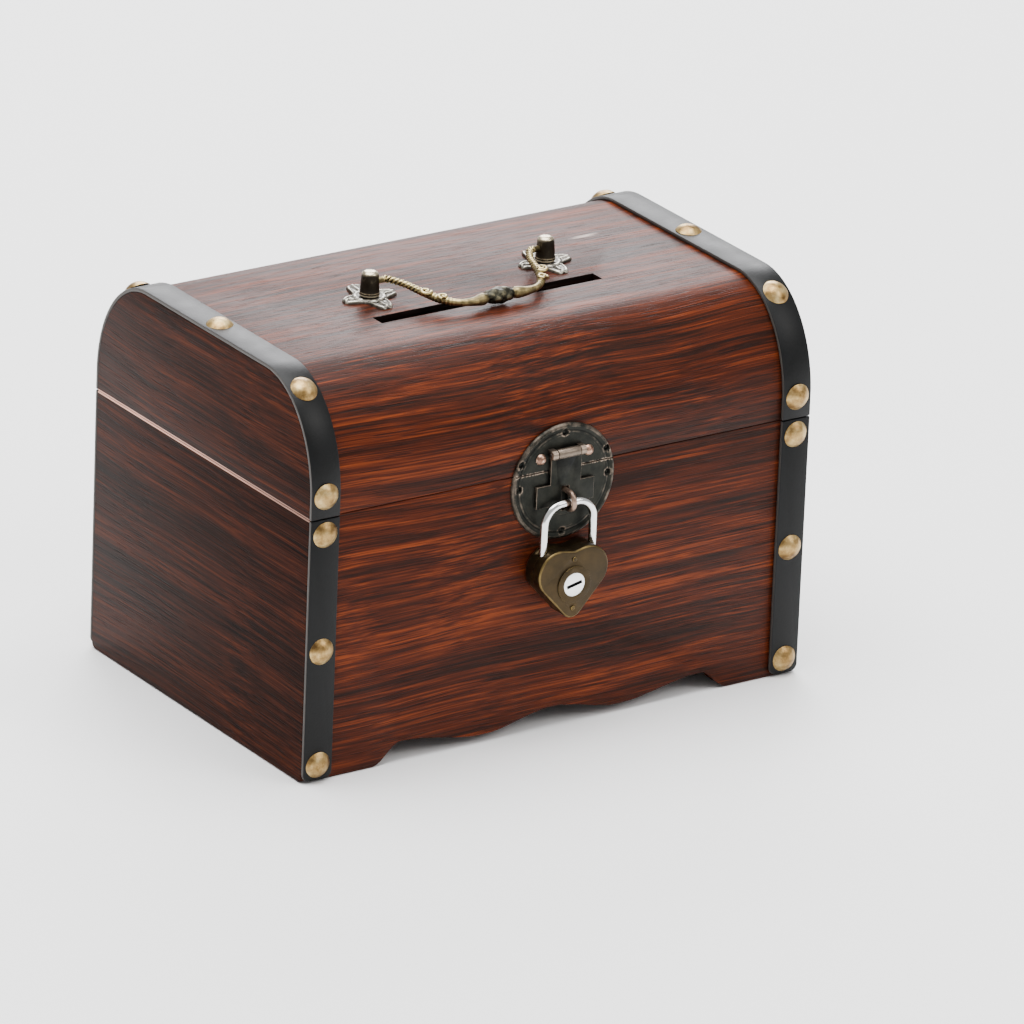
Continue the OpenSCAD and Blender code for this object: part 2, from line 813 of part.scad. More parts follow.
// The heart outline in (x, z): the tip's arc, a lobe's arc, a shallow notch, and their mirror
heart_steps = 16;
function heart_half() = concat(
    [for (i = [0:heart_steps])
        let (a = -90 + (side_deg + 90)*i/heart_steps)
        [tip_r*cos(a), tip_z + tip_r + tip_r*sin(a)]],
    [for (i = [0:heart_steps])
        let (a = side_deg + (lobe_end_deg - side_deg)*i/heart_steps)
        [lobe_x0 + lobe_r*cos(a), case_top_z - lobe_r + lobe_r*sin(a)]],
    [[0, case_top_z - notch_depth]]);
function heart() =
    let (h = heart_half())
    concat(h, [for (i = [len(h) - 2:-1:1]) [-h[i][0], h[i][1]]]);

// A slab of the heart between two depths
module heart_slab(y0, y1)
    translate([0, y1, 0])
        rotate([90, 0, 0])
            linear_extrude(y1 - y0)
                polygon(heart());

long_leg_in = 8;
short_leg_in = 3.8;
bolt_h = 1.2;
bolt_w = 1.8;
bolt_bite = 0.8;
bolt_z = case_top_z - 2.1;
bolt_nose_x = leg_x - shackle_r + bolt_bite - face_fit;
bolt_tail_x = 0.4;
bolt_l = 5.2;
bolt_back_x = bolt_nose_x - bolt_l;
// The wall left between the long leg's hole and the spring
spring_wall = 0.4;
spring_x = -leg_x + leg_hole_r + spring_wall;
finger_r = 3.1;
finger_w = 1.2;
finger_gap = 0.5;
tail_gap = 1;
leg_gap = 0.3;
well_y0 = bow_y - bolt_w/2 - face_fit;
well_y1 = bow_y + bolt_w/2 + face_fit;
plug_back_y = bow_y - 0.3;
// The finger starts inside the plug and runs back to the end of the bolt's well
finger_root = 0.4;
finger_back = well_y1 - face_fit - plug_back_y + finger_root;

// The room inside the case for the bolt, its spring, the plug's finger and the shackle's legs
module case_hollow() {
    translate([spring_x, well_y0, bolt_z - bolt_h/2 - face_fit])
        cube([leg_x - spring_x, well_y1 - well_y0, bolt_h + 2*face_fit]);
    translate([-bolt_travel - finger_w - tail_gap, well_y0, plug_z])
        cube([bolt_travel + 2*(finger_w + tail_gap) + bolt_tail_x, well_y1 - well_y0, bolt_z - plug_z]);
    translate([0, well_y1, plug_z])
        rotate([90, 0, 0])
            cylinder(r = finger_r + finger_gap, h = well_y1 - well_y0);
    translate([-leg_x, bow_y, case_top_z - long_leg_in - leg_gap])
        cylinder(r = leg_hole_r, h = long_leg_in + leg_gap + bore_extra);
    translate([leg_x, bow_y, case_top_z - short_leg_in - leg_gap])
        cylinder(r = leg_hole_r, h = short_leg_in + leg_gap + bore_extra);
}

// The lower rivet joins both shells; the upper one is short, so that the bolt can pass behind it
rivet_d = 1.2;
rivet_proud = 0.25;
rivet_low_z = tip_z + 2.6;
rivet_top_z = case_top_z - 2.7;
rivet_low_l = case_t - 1.2;
rivet_top_l = well_y0 - case_front_y - leg_gap;
module rivets(extra)
    for (r = [[rivet_low_z, rivet_low_l], [rivet_top_z, rivet_top_l]])
        translate([0, case_front_y + r[1], r[0]])
            rotate([90, 0, 0])
                cylinder(d = rivet_d, h = r[1] + extra);

ring_h = 0.5;
ring_sunk = 0.1;
module padlock_front_shell()
    color(case_brass)
        difference() {
            union() {
                heart_slab(case_front_y, bow_y);
                translate([0, case_front_y + ring_sunk, plug_z])
                    rotate([90, 0, 0])
                        cylinder(d = ring_d, h = ring_h + ring_sunk);
            }
            case_hollow();
            translate([0, bow_y + bore_extra, plug_z])
                rotate([90, 0, 0])
                    cylinder(r = plug_d/2 + pin_fit, h = case_t);
            rivets(bore_extra);
        }

module padlock_back_shell()
    color(case_brass)
        difference() {
            heart_slab(bow_y, bow_y + case_t/2);
            case_hollow();
            rivets(bore_extra);
        }

module padlock_rivets()
    color(case_brass)
        rivets(rivet_proud);

// The shackle's wire from its long leg over the bow to its short leg, notched for the bolt
leg_top_z = bow_z - shackle_bend_r;
module padlock_shackle()
    color(nickel)
        difference() {
            union() {
                translate([-leg_x, bow_y, case_top_z - long_leg_in])
                    cylinder(r = shackle_r, h = leg_top_z - case_top_z + long_leg_in);
                translate([leg_x, bow_y, case_top_z - short_leg_in])
                    cylinder(r = shackle_r, h = leg_top_z - case_top_z + short_leg_in);
                for (s = [-1, 1])
                    translate([s*(leg_x - shackle_bend_r), bow_y, leg_top_z])
                        rotate([90, s > 0 ? 0 : -90, 0])
                            rotate_extrude(angle = 90)
                                translate([shackle_bend_r, 0])
                                    circle(r = shackle_r);
                translate([-leg_x + shackle_bend_r, bow_y, bow_z])
                    rotate([0, 90, 0])
                        cylinder(r = shackle_r, h = 2*(leg_x - shackle_bend_r));
            }
            shackle_notch();
        }

// The notch's upper face is flat and its lower face a ramp, so the bolt slides out as the case drops
ramp_h = case_travel*bolt_bite/bolt_travel;
module shackle_notch() {
    x0 = leg_x - shackle_r;
    x1 = x0 + bolt_bite;
    z1 = bolt_z + bolt_h/2 + leg_fit;
    z0 = bolt_z - bolt_h/2 - face_fit;
    outside_x = x0 - bore_extra;
    translate([0, bow_y + shackle_r + bore_extra, 0])
        rotate([90, 0, 0])
            linear_extrude(2*(shackle_r + bore_extra))
                polygon([[outside_x, z1], [x1, z1], [x1, z0], [x0, z0 - ramp_h], [outside_x, z0 - ramp_h]]);
}

keyway_w = 0.9;
keyway_l = 4.4;
keyway_deep = 2.2;
plug_sunk = 0.1;
plug_front_y = case_front_y - ring_h + plug_sunk;
module padlock_plug()
    color(nickel)
        difference() {
            union() {
                translate([0, plug_back_y, plug_z])
                    rotate([90, 0, 0])
                        cylinder(d = plug_d, h = plug_back_y - plug_front_y);
                translate([0, well_y1 - face_fit, plug_z])
                    rotate([90, 45, 0])
                        translate([-finger_w/2, 0, 0])
                            cube([finger_w, finger_r - side_fit, finger_back]);
            }
            translate([0, plug_front_y, plug_z])
                rotate([90, -keyway_deg, 0])
                    translate([-keyway_l/2, -keyway_w/2, -keyway_deep])
                        cube([keyway_l, keyway_w, keyway_deep + bore_extra]);
        }

// The bolt's nose, and a thinner tail behind the plug that the finger pushes
tail_w = 1.2;
tail_z = plug_z + 1.5;
tail_y = plug_back_y + face_fit;
tail_d = bow_y + bolt_w/2 - tail_y;
tail_lap = 0.5;
module padlock_bolt()
    color(steel)
        union() {
            translate([bolt_back_x, bow_y - bolt_w/2, bolt_z - bolt_h/2])
                cube([bolt_l, bolt_w, bolt_h]);
            translate([bolt_tail_x - tail_w, tail_y, tail_z])
                cube([tail_w, tail_d, bolt_z - tail_z]);
            translate([bolt_tail_x - tail_w, tail_y, bolt_z - bolt_h/2])
                cube([bolt_back_x - bolt_tail_x + tail_w + tail_lap, tail_d, bolt_h]);
        }

// A coil spring between the case's wall and the bolt's tail
spring_d = 1.3;
spring_wire_d = 0.26;
spring_turns = 6;
rings_a_turn = 10;
wire_sides = 6;
spring_gap = 0.05;
spring_l = bolt_tail_x - tail_w - spring_x - spring_wire_d - 2*spring_gap;
module padlock_spring()
    color(steel)
        translate([spring_x + spring_wire_d/2 + spring_gap, bow_y, bolt_z])
            tube([for (i = [0:spring_turns*rings_a_turn])
                let (a = 360*i/rings_a_turn, r = (spring_d - spring_wire_d)/2)
                [for (k = [0:wire_sides - 1])
                    let (t = 360*k/wire_sides, q = r + spring_wire_d/2*cos(t))
                    [spring_l*i/(spring_turns*rings_a_turn) + spring_wire_d/2*sin(t), q*cos(a), q*sin(a)]]]);

// ---- place in the frame ----

// The wood stands behind the origin by half the difference between what reaches out in front and behind
front_reach = -(case_front_y - ring_h);
back_reach = half_d + max(strap_t + stud_h, barrel_d + pin_fit);
module placed()
    translate([0, (front_reach - back_reach)/2, 0])
        children();

placed() body_end(-1);  // body_left_end
placed() body_end(1);  // body_right_end
placed() body_front_panel();
placed() body_back_panel();
placed() body_bottom_panel();
placed() lid_end(-1);  // lid_left_end
placed() lid_end(1);  // lid_right_end
placed() lid_shell();
placed() body_strap(-1, -1);  // strap_body_front_left
placed() body_strap(1, -1);  // strap_body_front_right
placed() body_strap(-1, 1);  // strap_body_back_left
placed() body_strap(1, 1);  // strap_body_back_right
placed() lid_strap(-1);  // strap_lid_left
placed() lid_strap(1);  // strap_lid_right
placed() body_studs(-1);  // studs_body_left
placed() body_studs(1);  // studs_body_right
placed() lid_studs(-1);  // studs_lid_left
placed() lid_studs(1);  // studs_lid_right
placed() hinge_leaf(-1, -1);  // hinge_left_body_leaf
placed() hinge_leaf(-1, 1);  // hinge_left_lid_leaf
placed() hinge_pin(-1);  // hinge_left_pin
placed() hinge_leaf(1, -1);  // hinge_right_body_leaf
placed() hinge_leaf(1, 1);  // hinge_right_lid_leaf
placed() hinge_pin(1);  // hinge_right_pin
placed() hinge_nails(-1);  // hinge_body_nails
placed() hinge_nails(1);  // hinge_lid_nails
placed() latch_top_plate();
placed() latch_bottom_plate();
placed() latch_hasp();
placed() latch_hasp_pin();
placed() latch_staple();
placed() latch_nails();
placed() rosette(-1);  // handle_left_rosette
placed() rosette(1);  // handle_right_rosette
placed() post(-1);  // handle_left_post
placed() post(1);  // handle_right_post
placed() handle_nuts();
placed() handle_bail();
placed() padlock_front_shell();
placed() padlock_back_shell();
placed() padlock_rivets();
placed() padlock_shackle();
placed() padlock_plug();
placed() padlock_bolt();
placed() padlock_spring();
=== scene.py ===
import math

import bmesh
import bpy
from mathutils import Matrix, Vector, noise


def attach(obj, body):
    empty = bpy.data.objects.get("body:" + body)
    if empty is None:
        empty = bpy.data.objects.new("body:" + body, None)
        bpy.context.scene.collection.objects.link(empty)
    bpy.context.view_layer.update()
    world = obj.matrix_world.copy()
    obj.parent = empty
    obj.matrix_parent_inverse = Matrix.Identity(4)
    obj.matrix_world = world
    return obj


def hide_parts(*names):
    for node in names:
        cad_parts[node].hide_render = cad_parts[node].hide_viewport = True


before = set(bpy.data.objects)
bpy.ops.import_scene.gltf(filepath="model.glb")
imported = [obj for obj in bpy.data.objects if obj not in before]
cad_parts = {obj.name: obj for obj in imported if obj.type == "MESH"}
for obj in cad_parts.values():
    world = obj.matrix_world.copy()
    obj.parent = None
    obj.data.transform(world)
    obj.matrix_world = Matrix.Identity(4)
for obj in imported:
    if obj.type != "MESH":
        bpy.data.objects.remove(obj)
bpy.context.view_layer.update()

# ---- The studio ----
# The box stands on a wide sheet of pale paper, looked down on from its front left corner.
# A broad soft lamp stands to the front right, a second one hangs behind, and white walls fill the rest.
mm = 0.001


def step(tree, kind, inputs=None, **settings):
    """Adds one node to a tree. An input is a plain value, or the node or socket that feeds it."""
    made = tree.nodes.new(kind)
    for name, value in settings.items():
        setattr(made, name, value)
    for name, value in (inputs or {}).items():
        socket = made.inputs[name] if isinstance(name, int) else [s for s in made.inputs if s.enabled and s.name == name][0]
        if isinstance(value, bpy.types.Node):
            value = out(value)
        if isinstance(value, bpy.types.NodeSocket):
            tree.links.new(value, socket)
        else:
            socket.default_value = value
    return made


def out(node, name=None):
    """The named output of a node, or its first one."""
    return [s for s in node.outputs if s.enabled and name in (None, s.name)][0]


def tint(colour):
    """A paint colour such as #a06040, as the light it gives back."""
    parts = [int(colour[i:i + 2], 16) / 255 for i in (1, 3, 5)]
    return [p / 12.92 if p <= 0.04045 else ((p + 0.055) / 1.055) ** 2.4 for p in parts] + [1.0]


def new_finish(name):
    """A new material, with its tree and its main shader."""
    finish = bpy.data.materials.new(name)
    finish.use_nodes = True
    return finish, finish.node_tree, finish.node_tree.nodes["Principled BSDF"]


paper, paper_tree, paper_shader = new_finish("pale_paper")
paper_shader.inputs["Base Color"].default_value = tint("#f7f7f7")
paper_shader.inputs["Roughness"].default_value = 0.9
paper_tooth = step(paper_tree, "ShaderNodeTexNoise", {"Vector": out(step(paper_tree, "ShaderNodeTexCoord"), "Object"), "Scale": 900.0})
paper_tree.links.new(out(step(paper_tree, "ShaderNodeBump", {"Height": paper_tooth, "Strength": 0.05, "Distance": 0.1 * mm})), paper_shader.inputs["Normal"])
floor_mesh = bpy.data.meshes.new("floor")
floor_mesh.from_pydata([(-4, -4, -0.2 * mm), (4, -4, -0.2 * mm), (4, 4, -0.2 * mm), (-4, 4, -0.2 * mm)], [], [(0, 1, 2, 3)])
floor_mesh.materials.append(paper)
floor = bpy.data.objects.new("floor", floor_mesh)
bpy.context.scene.collection.objects.link(floor)

room = bpy.data.worlds.new("white_room")
room.use_nodes = True
room.node_tree.nodes["Background"].inputs["Color"].default_value = (1, 1, 1, 1)
room.node_tree.nodes["Background"].inputs["Strength"].default_value = 0.6
bpy.context.scene.world = room


def lamp(name, place, aim, size, power, colour):
    """A square soft lamp that faces a point."""
    light = bpy.data.lights.new(name, "AREA")
    light.shape = "SQUARE"
    light.size = size
    light.energy = power
    light.color = colour
    holder = bpy.data.objects.new(name, light)
    holder.location = place
    holder.rotation_euler = (Vector(aim) - Vector(place)).to_track_quat("-Z", "Y").to_euler()
    bpy.context.scene.collection.objects.link(holder)


lamp("front_lamp", (0.9, -1.3, 1.3), (0, 0, 0.05), 0.9, 15, (1, 0.98, 0.96))
lamp("back_lamp", (0.95, 1.5, 0.95), (0, 0, 0.08), 1.0, 40, (0.98, 0.98, 1))
lamp("top_lamp", (-0.1, 0.2, 1.8), (0, 0, 0), 1.8, 95, (1, 1, 1))

lens = bpy.data.cameras.new("camera")
lens.sensor_width = 36
lens.lens = 350.84
lens.clip_start = 0.1
lens.clip_end = 30
eye = bpy.data.objects.new("camera", lens)
eye.rotation_mode = "QUATERNION"
turn = Matrix.Rotation(-0.60301, 4, "Z") @ Matrix.Rotation(1.18578, 4, "X") @ Matrix.Rotation(0.04074, 4, "Z")
eye.location = (-1.27648, -1.88122 + 0.002325, 0.96105)
eye.rotation_quaternion = turn.to_quaternion()
bpy.context.scene.collection.objects.link(eye)
bpy.context.scene.camera = eye

# ---- Body panels ----
# The body is a box of thin boards, stained red-brown: two end boards that carry the outline, a front board
# with a scalloped lower edge, a back board and a raised bottom. They are glued, and the corners lie under the straps.
box_long, box_deep, box_tall = 145 * mm, 96 * mm, 100 * mm
split = 68 * mm
end_thick, board_thick = 5 * mm, 4 * mm
between = box_long - 2 * end_thick
# The padlock reaches 55.35 mm to the front and the studs 50.7 mm to the back, and the origin is halfway.
from_origin = (55.35 * mm - 50.7 * mm) / 2


def shades(tree, share, stops):
    """Colours laid along a value that runs from 0 to 1."""
    ramp = step(tree, "ShaderNodeValToRGB", {"Fac": share})
    bar = ramp.color_ramp.elements
    bar.remove(bar[1])
    bar[0].position, bar[0].color = stops[0][0], tint(stops[0][1])
    for place, colour in stops[1:]:
        bar.new(place).color = tint(colour)
    return out(ramp, "Color")


def sum_of(tree, operation, *values):
    """Arithmetic on one or more values."""
    return out(step(tree, "ShaderNodeMath", dict(enumerate(values)), operation=operation))


def between_0_and_1(tree, value, low, high):
    """Stretches a value so that low becomes 0 and high becomes 1, and holds it there."""
    return out(step(tree, "ShaderNodeMapRange", {"Value": value, "From Min": low, "From Max": high}))


def blend(tree, share, first, second, way="MIX"):
    """Mixes two colours."""
    return out(step(tree, "ShaderNodeMix", {"Factor": share, "A": first, "B": second}, data_type="RGBA", blend_type=way))


def streaks(tree, place, long, wide, detail=3.0, rough=0.55):
    """Cloudy streaks of a length along X and a width across it."""
    scaled = step(tree, "ShaderNodeMapping", {"Vector": place, "Scale": (1 / long, 1 / wide, 1 / wide)})
    return out(step(tree, "ShaderNodeTexNoise", {"Vector": scaled, "Scale": 1.0, "Detail": detail, "Roughness": rough}), "Fac")


def stained_wood(name, along, dark, brown, red, light, raw_edge_and_highlight=0.0, slot=False, gleam=0.1):
    """Open-grained wood with a red-brown stain, its grain along X or Y. It can carry a pale split line, and for the lid
    painted shade in the coin slot and a painted sheen on the top.
    """
    finish, tree, shader = new_finish(name)
    spot = out(step(tree, "ShaderNodeTexCoord"), "Object")
    turned = step(tree, "ShaderNodeMapping", {"Vector": spot, "Rotation": (0, 0, math.radians(90 if along == "Y" else 0))})
    wander = step(tree, "ShaderNodeTexNoise", {"Vector": turned, "Scale": 14.0, "Detail": 1.0, "Roughness": 0.5})
    pushed = step(tree, "ShaderNodeVectorMath", {0: out(wander, "Color"), 1: (0.5, 0.5, 0.5)}, operation="SUBTRACT")
    pushed = step(tree, "ShaderNodeVectorMath", {0: pushed, 1: (0.0, 0.005, 0.005)}, operation="MULTIPLY")
    grain = out(step(tree, "ShaderNodeVectorMath", {0: turned, 1: pushed}, operation="ADD"))
    bands = streaks(tree, grain, 150 * mm, 7 * mm, 2.0)
    ribbons = streaks(tree, grain, 100 * mm, 1.3 * mm, 3.0, 0.6)
    fibres = streaks(tree, grain, 34 * mm, 0.42 * mm, 3.0, 0.65)
    pores = between_0_and_1(tree, streaks(tree, grain, 12 * mm, 0.3 * mm, 1.0), 0.58, 0.7)
    mixed = sum_of(tree, "ADD", sum_of(tree, "MULTIPLY", bands, 0.24), sum_of(tree, "MULTIPLY", ribbons, 0.36))
    mixed = sum_of(tree, "ADD", mixed, sum_of(tree, "MULTIPLY", fibres, 0.4))
    colour = shades(tree, between_0_and_1(tree, mixed, 0.36, 0.64), [(0.0, dark), (0.34, brown), (0.62, red), (1.0, light)])
    colour = blend(tree, sum_of(tree, "MULTIPLY", pores, 0.7), colour, tint(dark))
    # A pale line along the split between lid and body: partly the raw cut edge, partly painted highlight, stronger
    # towards the back.
    if raw_edge_and_highlight:
        height = out(step(tree, "ShaderNodeSeparateXYZ", {"Vector": spot}), "Z")
        near = sum_of(tree, "ABSOLUTE", sum_of(tree, "SUBTRACT", height, raw_edge_and_highlight))
        line = between_0_and_1(tree, near, 0.5 * mm, 0.4 * mm)
        back = between_0_and_1(tree, out(step(tree, "ShaderNodeSeparateXYZ", {"Vector": spot}), "Y"), -40 * mm, 30 * mm)
        line = sum_of(tree, "MULTIPLY", line, sum_of(tree, "ADD", sum_of(tree, "MULTIPLY", back, 0.6), 0.4))
        colour = blend(tree, line, colour, tint("#e3b3a0"))
    # Painted shade: the walls of the coin slot are darkened almost to black.
    if slot:
        part = step(tree, "ShaderNodeSeparateXYZ", {"Vector": spot})
        beside = sum_of(tree, "ABSOLUTE", sum_of(tree, "SUBTRACT", out(part, "Y"), from_origin - 13.5 * mm))
        inside = sum_of(tree, "MULTIPLY", between_0_and_1(tree, beside, 2.3 * mm, 2.15 * mm), sum_of(tree, "LESS_THAN", sum_of(
            tree, "ABSOLUTE", out(part, "X")), 32.2 * mm))
        inside = sum_of(tree, "MULTIPLY", inside, sum_of(tree, "GREATER_THAN", out(part, "Z"), 90 * mm))
        colour = blend(tree, sum_of(tree, "MULTIPLY", inside, 0.93), colour, tint("#0a0504"))
        # Painted sheen: a pale grey-pink streak on the top towards the back right, broken up by the grain.
        far = step(tree, "ShaderNodeMapping", {"Vector": spot, "Location": (-45 * mm, -13.3 * mm, -100 * mm), "Scale": (1, 1, 1)})
        far = step(tree, "ShaderNodeMapping", {"Vector": far, "Rotation": (0, 0, -0.18), "Scale": (150, 620, 100)})
        wear_and_sheen = between_0_and_1(tree, sum_of(tree, "ADD", out(step(tree, "ShaderNodeVectorMath", {0: far}, operation="LENGTH"), "Value"),
                                              sum_of(tree, "MULTIPLY", fibres, 2.2)), 1.75, 1.15)
        wear_and_sheen = sum_of(tree, "MULTIPLY", wear_and_sheen, sum_of(tree, "GREATER_THAN", out(part, "Z"), 98 * mm))
        colour = blend(tree, sum_of(tree, "MULTIPLY", wear_and_sheen, 0.6), colour, tint("#d6c2b6"))
    tree.links.new(colour, shader.inputs["Base Color"])
    gloss = sum_of(tree, "ADD", sum_of(tree, "MULTIPLY", fibres, 0.2), 0.34)
    tree.links.new(gloss, shader.inputs["Roughness"])
    shader.inputs["Specular IOR Level"].default_value = gleam
    relief = sum_of(tree, "SUBTRACT", sum_of(tree, "ADD", fibres, sum_of(tree, "MULTIPLY", ribbons, 0.5)), pores)
    bump = step(tree, "ShaderNodeBump", {"Height": relief, "Strength": 0.5, "Distance": 0.1 * mm})
    tree.links.new(out(bump), shader.inputs["Normal"])
    return finish


face_wood = stained_wood("face_wood", "X", "#0f0503", "#250e05", "#431807", "#773413", slot=True)
# The end boards take a darker copy of the same stained wood: painted shade on the ends.
end_wood = stained_wood("end_wood", "Y", "#0c0503", "#1e0d07", "#33160c", "#4e2412", raw_edge_and_highlight=68.1 * mm, gleam=0.04)


def plain_object(name, mesh):
    """Puts a mesh in the scene, at the origin."""
    piece = bpy.data.objects.new(name, mesh)
    bpy.context.scene.collection.objects.link(piece)
    return piece


def ease(piece, rounding, steps=2, angle=40):
    """Rounds the sharp edges of a piece a little."""
    edge = piece.modifiers.new("eased", "BEVEL")
    edge.width, edge.segments = rounding, steps
    edge.limit_method, edge.angle_limit = "ANGLE", math.radians(angle)
    return piece


def settle(piece, body, slot, *nodes, crease=28, from_wood=True):
    """Makes a piece and its modifiers one plain mesh, and hangs it on the body that it belongs to.
    A piece measured from the middle of the wood is moved back to where the wood stands."""
    ready = bpy.context.evaluated_depsgraph_get()
    mesh = bpy.data.meshes.new_from_object(piece.evaluated_get(ready), preserve_all_data_layers=True, depsgraph=ready)
    piece.modifiers.clear()
    piece.data = mesh
    if from_wood:
        mesh.transform(Matrix.Translation((0, from_origin, 0)))
    mesh.name = piece.name
    mesh.shade_smooth()
    mesh.set_sharp_from_angle(angle=math.radians(crease))
    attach(piece, body)
    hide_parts(*nodes)
    return piece


def board(name, outline, along, start, thick, finish):
    """A flat board cut to an outline, standing across X, Y or Z."""
    place = {"x": lambda a, b, t: (t, a, b), "y": lambda a, b, t: (a, t, b), "z": lambda a, b, t: (a, b, t)}[along]
    shape = bmesh.new()
    near = [shape.verts.new(place(a, b, start)) for a, b in outline]
    far = [shape.verts.new(place(a, b, start + thick)) for a, b in outline]
    shape.faces.new(near)
    shape.faces.new(far)
    for i in range(len(outline)):
        j = (i + 1) % len(outline)
        shape.faces.new((near[i], near[j], far[j], far[i]))
    bmesh.ops.recalc_face_normals(shape, faces=shape.faces)
    mesh = bpy.data.meshes.new(name)
    shape.to_mesh(mesh)
    mesh.materials.append(finish)
    return plain_object(name, mesh)


def arc(centre_a, centre_b, radius_a, radius_b, start, end, count):
    """Points along part of an ellipse, from one angle to another, in degrees."""
    angles = [math.radians(start + (end - start) * i / count) for i in range(count + 1)]
    return [(centre_a + radius_a * math.cos(t), centre_b + radius_b * math.sin(t)) for t in angles]


foot_round = 1.5 * mm
half_deep = box_deep / 2
end_outline = (arc(-half_deep + foot_round, foot_round, foot_round, foot_round, 180, 270, 6)
               + arc(half_deep - foot_round, foot_round, foot_round, foot_round, 270, 360, 6)
               + [(half_deep, split), (-half_deep, split)])
for side, start in (("left", -box_long / 2), ("right", box_long / 2 - end_thick)):
    piece = board(f"{side}_end_board", end_outline, "x", start, end_thick, end_wood)
    settle(ease(piece, 0.2 * mm), "box_body", "wood_end", f"body_{side}_end")

scallop_tall, lobe_tall, step_wide = 5.2 * mm, 2 * mm, 8 * mm
scallop_end = box_long / 2 - 20.5 * mm
rise_end = scallop_end - step_wide
lobe_at = 0.45 * rise_end


def scallop(x):
    """Height of the front board's lower edge at a distance from the middle."""
    x = abs(x)
    if x < lobe_at:
        return lobe_tall + (scallop_tall - lobe_tall) * (1 + math.cos(math.pi * x / lobe_at)) / 2
    if x < rise_end:
        return lobe_tall + (scallop_tall - lobe_tall) * (1 - math.cos(math.pi * (x - lobe_at) / (rise_end - lobe_at))) / 2
    return scallop_tall * (1 + math.cos(math.pi * (x - rise_end) / step_wide)) / 2 if x < scallop_end else 0.0


front_outline = ([(between / 2, split), (-between / 2, split), (-between / 2, 0)]
                 + [(scallop_end * i / 70, scallop(scallop_end * i / 70)) for i in range(-70, 71)]
                 + [(between / 2, 0)])
front_board = board("front_board", front_outline, "y", -half_deep, board_thick, face_wood)
settle(ease(front_board, 0.12 * mm), "box_body", "wood_face", "body_front_panel")

plain_outline = [(-between / 2, 0), (between / 2, 0), (between / 2, split), (-between / 2, split)]
back_board = board("back_board", plain_outline, "y", half_deep - board_thick, board_thick, face_wood)
settle(ease(back_board, 0.12 * mm), "box_body", "wood_face", "body_back_panel")

inner_deep = half_deep - board_thick
bottom_outline = [(-between / 2, -inner_deep), (between / 2, -inner_deep), (between / 2, inner_deep), (-between / 2, inner_deep)]
bottom_board = board("bottom_board", bottom_outline, "z", 8 * mm, 3 * mm, face_wood)
settle(ease(bottom_board, 0.25 * mm), "box_body", "wood_face", "body_bottom_panel")

# ---- Lid ----
# The lid is a sheet of the same wood, bent over two end boards that are cut to a flat top with round shoulders.
# A coin slot is sawn through the top, just in front of the handle.
lid_edge = 68.2 * mm
shoulder_reach, shoulder_drop = 21 * mm, 27 * mm
lid_outline = ([(half_deep, lid_edge)]
               + arc(half_deep - shoulder_reach, box_tall - shoulder_drop, shoulder_reach, shoulder_drop, 0, 90, 24)
               + arc(shoulder_reach - half_deep, box_tall - shoulder_drop, shoulder_reach, shoulder_drop, 90, 180, 24)
               + [(-half_deep, lid_edge)])
for side, start in (("left", -box_long / 2), ("right", box_long / 2 - end_thick)):
    piece = board(f"{side}_lid_board", lid_outline, "x", start, end_thick, end_wood)
    settle(ease(piece, 0.2 * mm), "lid", "wood_end", f"lid_{side}_end")


def new_tree(name, sizes):
    """A Geometry Nodes tree with a named input for each size. The tree's shape comes in first."""
    tree = bpy.data.node_groups.new(name, "GeometryNodeTree")
    tree.interface.new_socket("Geometry", in_out="INPUT", socket_type="NodeSocketGeometry")
    tree.interface.new_socket("Geometry", in_out="OUTPUT", socket_type="NodeSocketGeometry")
    kinds = {float: "NodeSocketFloat", int: "NodeSocketInt"}
    for size, usual in sizes.items():
        tree.interface.new_socket(size, in_out="INPUT", socket_type=kinds[type(usual)]).default_value = usual
    tree.interface.new_socket("Finish", in_out="INPUT", socket_type="NodeSocketMaterial")
    return tree, tree.nodes.new("NodeGroupInput")


def end_tree(tree, given, shape):
    """Closes a tree: its copies are made real and take the finish."""
    real = step(tree, "GeometryNodeRealizeInstances", {"Geometry": shape})
    coated = step(tree, "GeometryNodeSetMaterial", {"Geometry": real, "Material": given.outputs["Finish"]})
    last = tree.nodes.new("NodeGroupOutput")
    tree.links.new(out(coated), last.inputs["Geometry"])


def grow(name, start_mesh, tree, **values):
    """Runs a tree on a starting mesh. A value's name is its input's, with _ for a space."""
    piece = plain_object(name, start_mesh)
    run = piece.modifiers.new("grown", "NODES")
    run.node_group = tree
    inputs = {item.name: item.identifier for item in tree.interface.items_tree if item.in_out == "INPUT"}
    for value_name, value in values.items():
        run[inputs[value_name.replace("_", " ")]] = value
    return piece


bent_tree, given = new_tree("bent_over_the_lid", {
    "Start": 0.0, "Length": 0.1, "Half depth": 0.048, "Height": 0.1, "Lower edge": 0.0682,
    "Shoulder reach": 0.021, "Shoulder drop": 0.027, "Stand off": 0.0, "Thickness": 0.001,
    "Slot length": 0.0, "Slot width": 0.0, "Slot centre": 0.0, "Steps": 24})


def asked(name):
    """The tree input of that name."""
    return given.outputs[name]


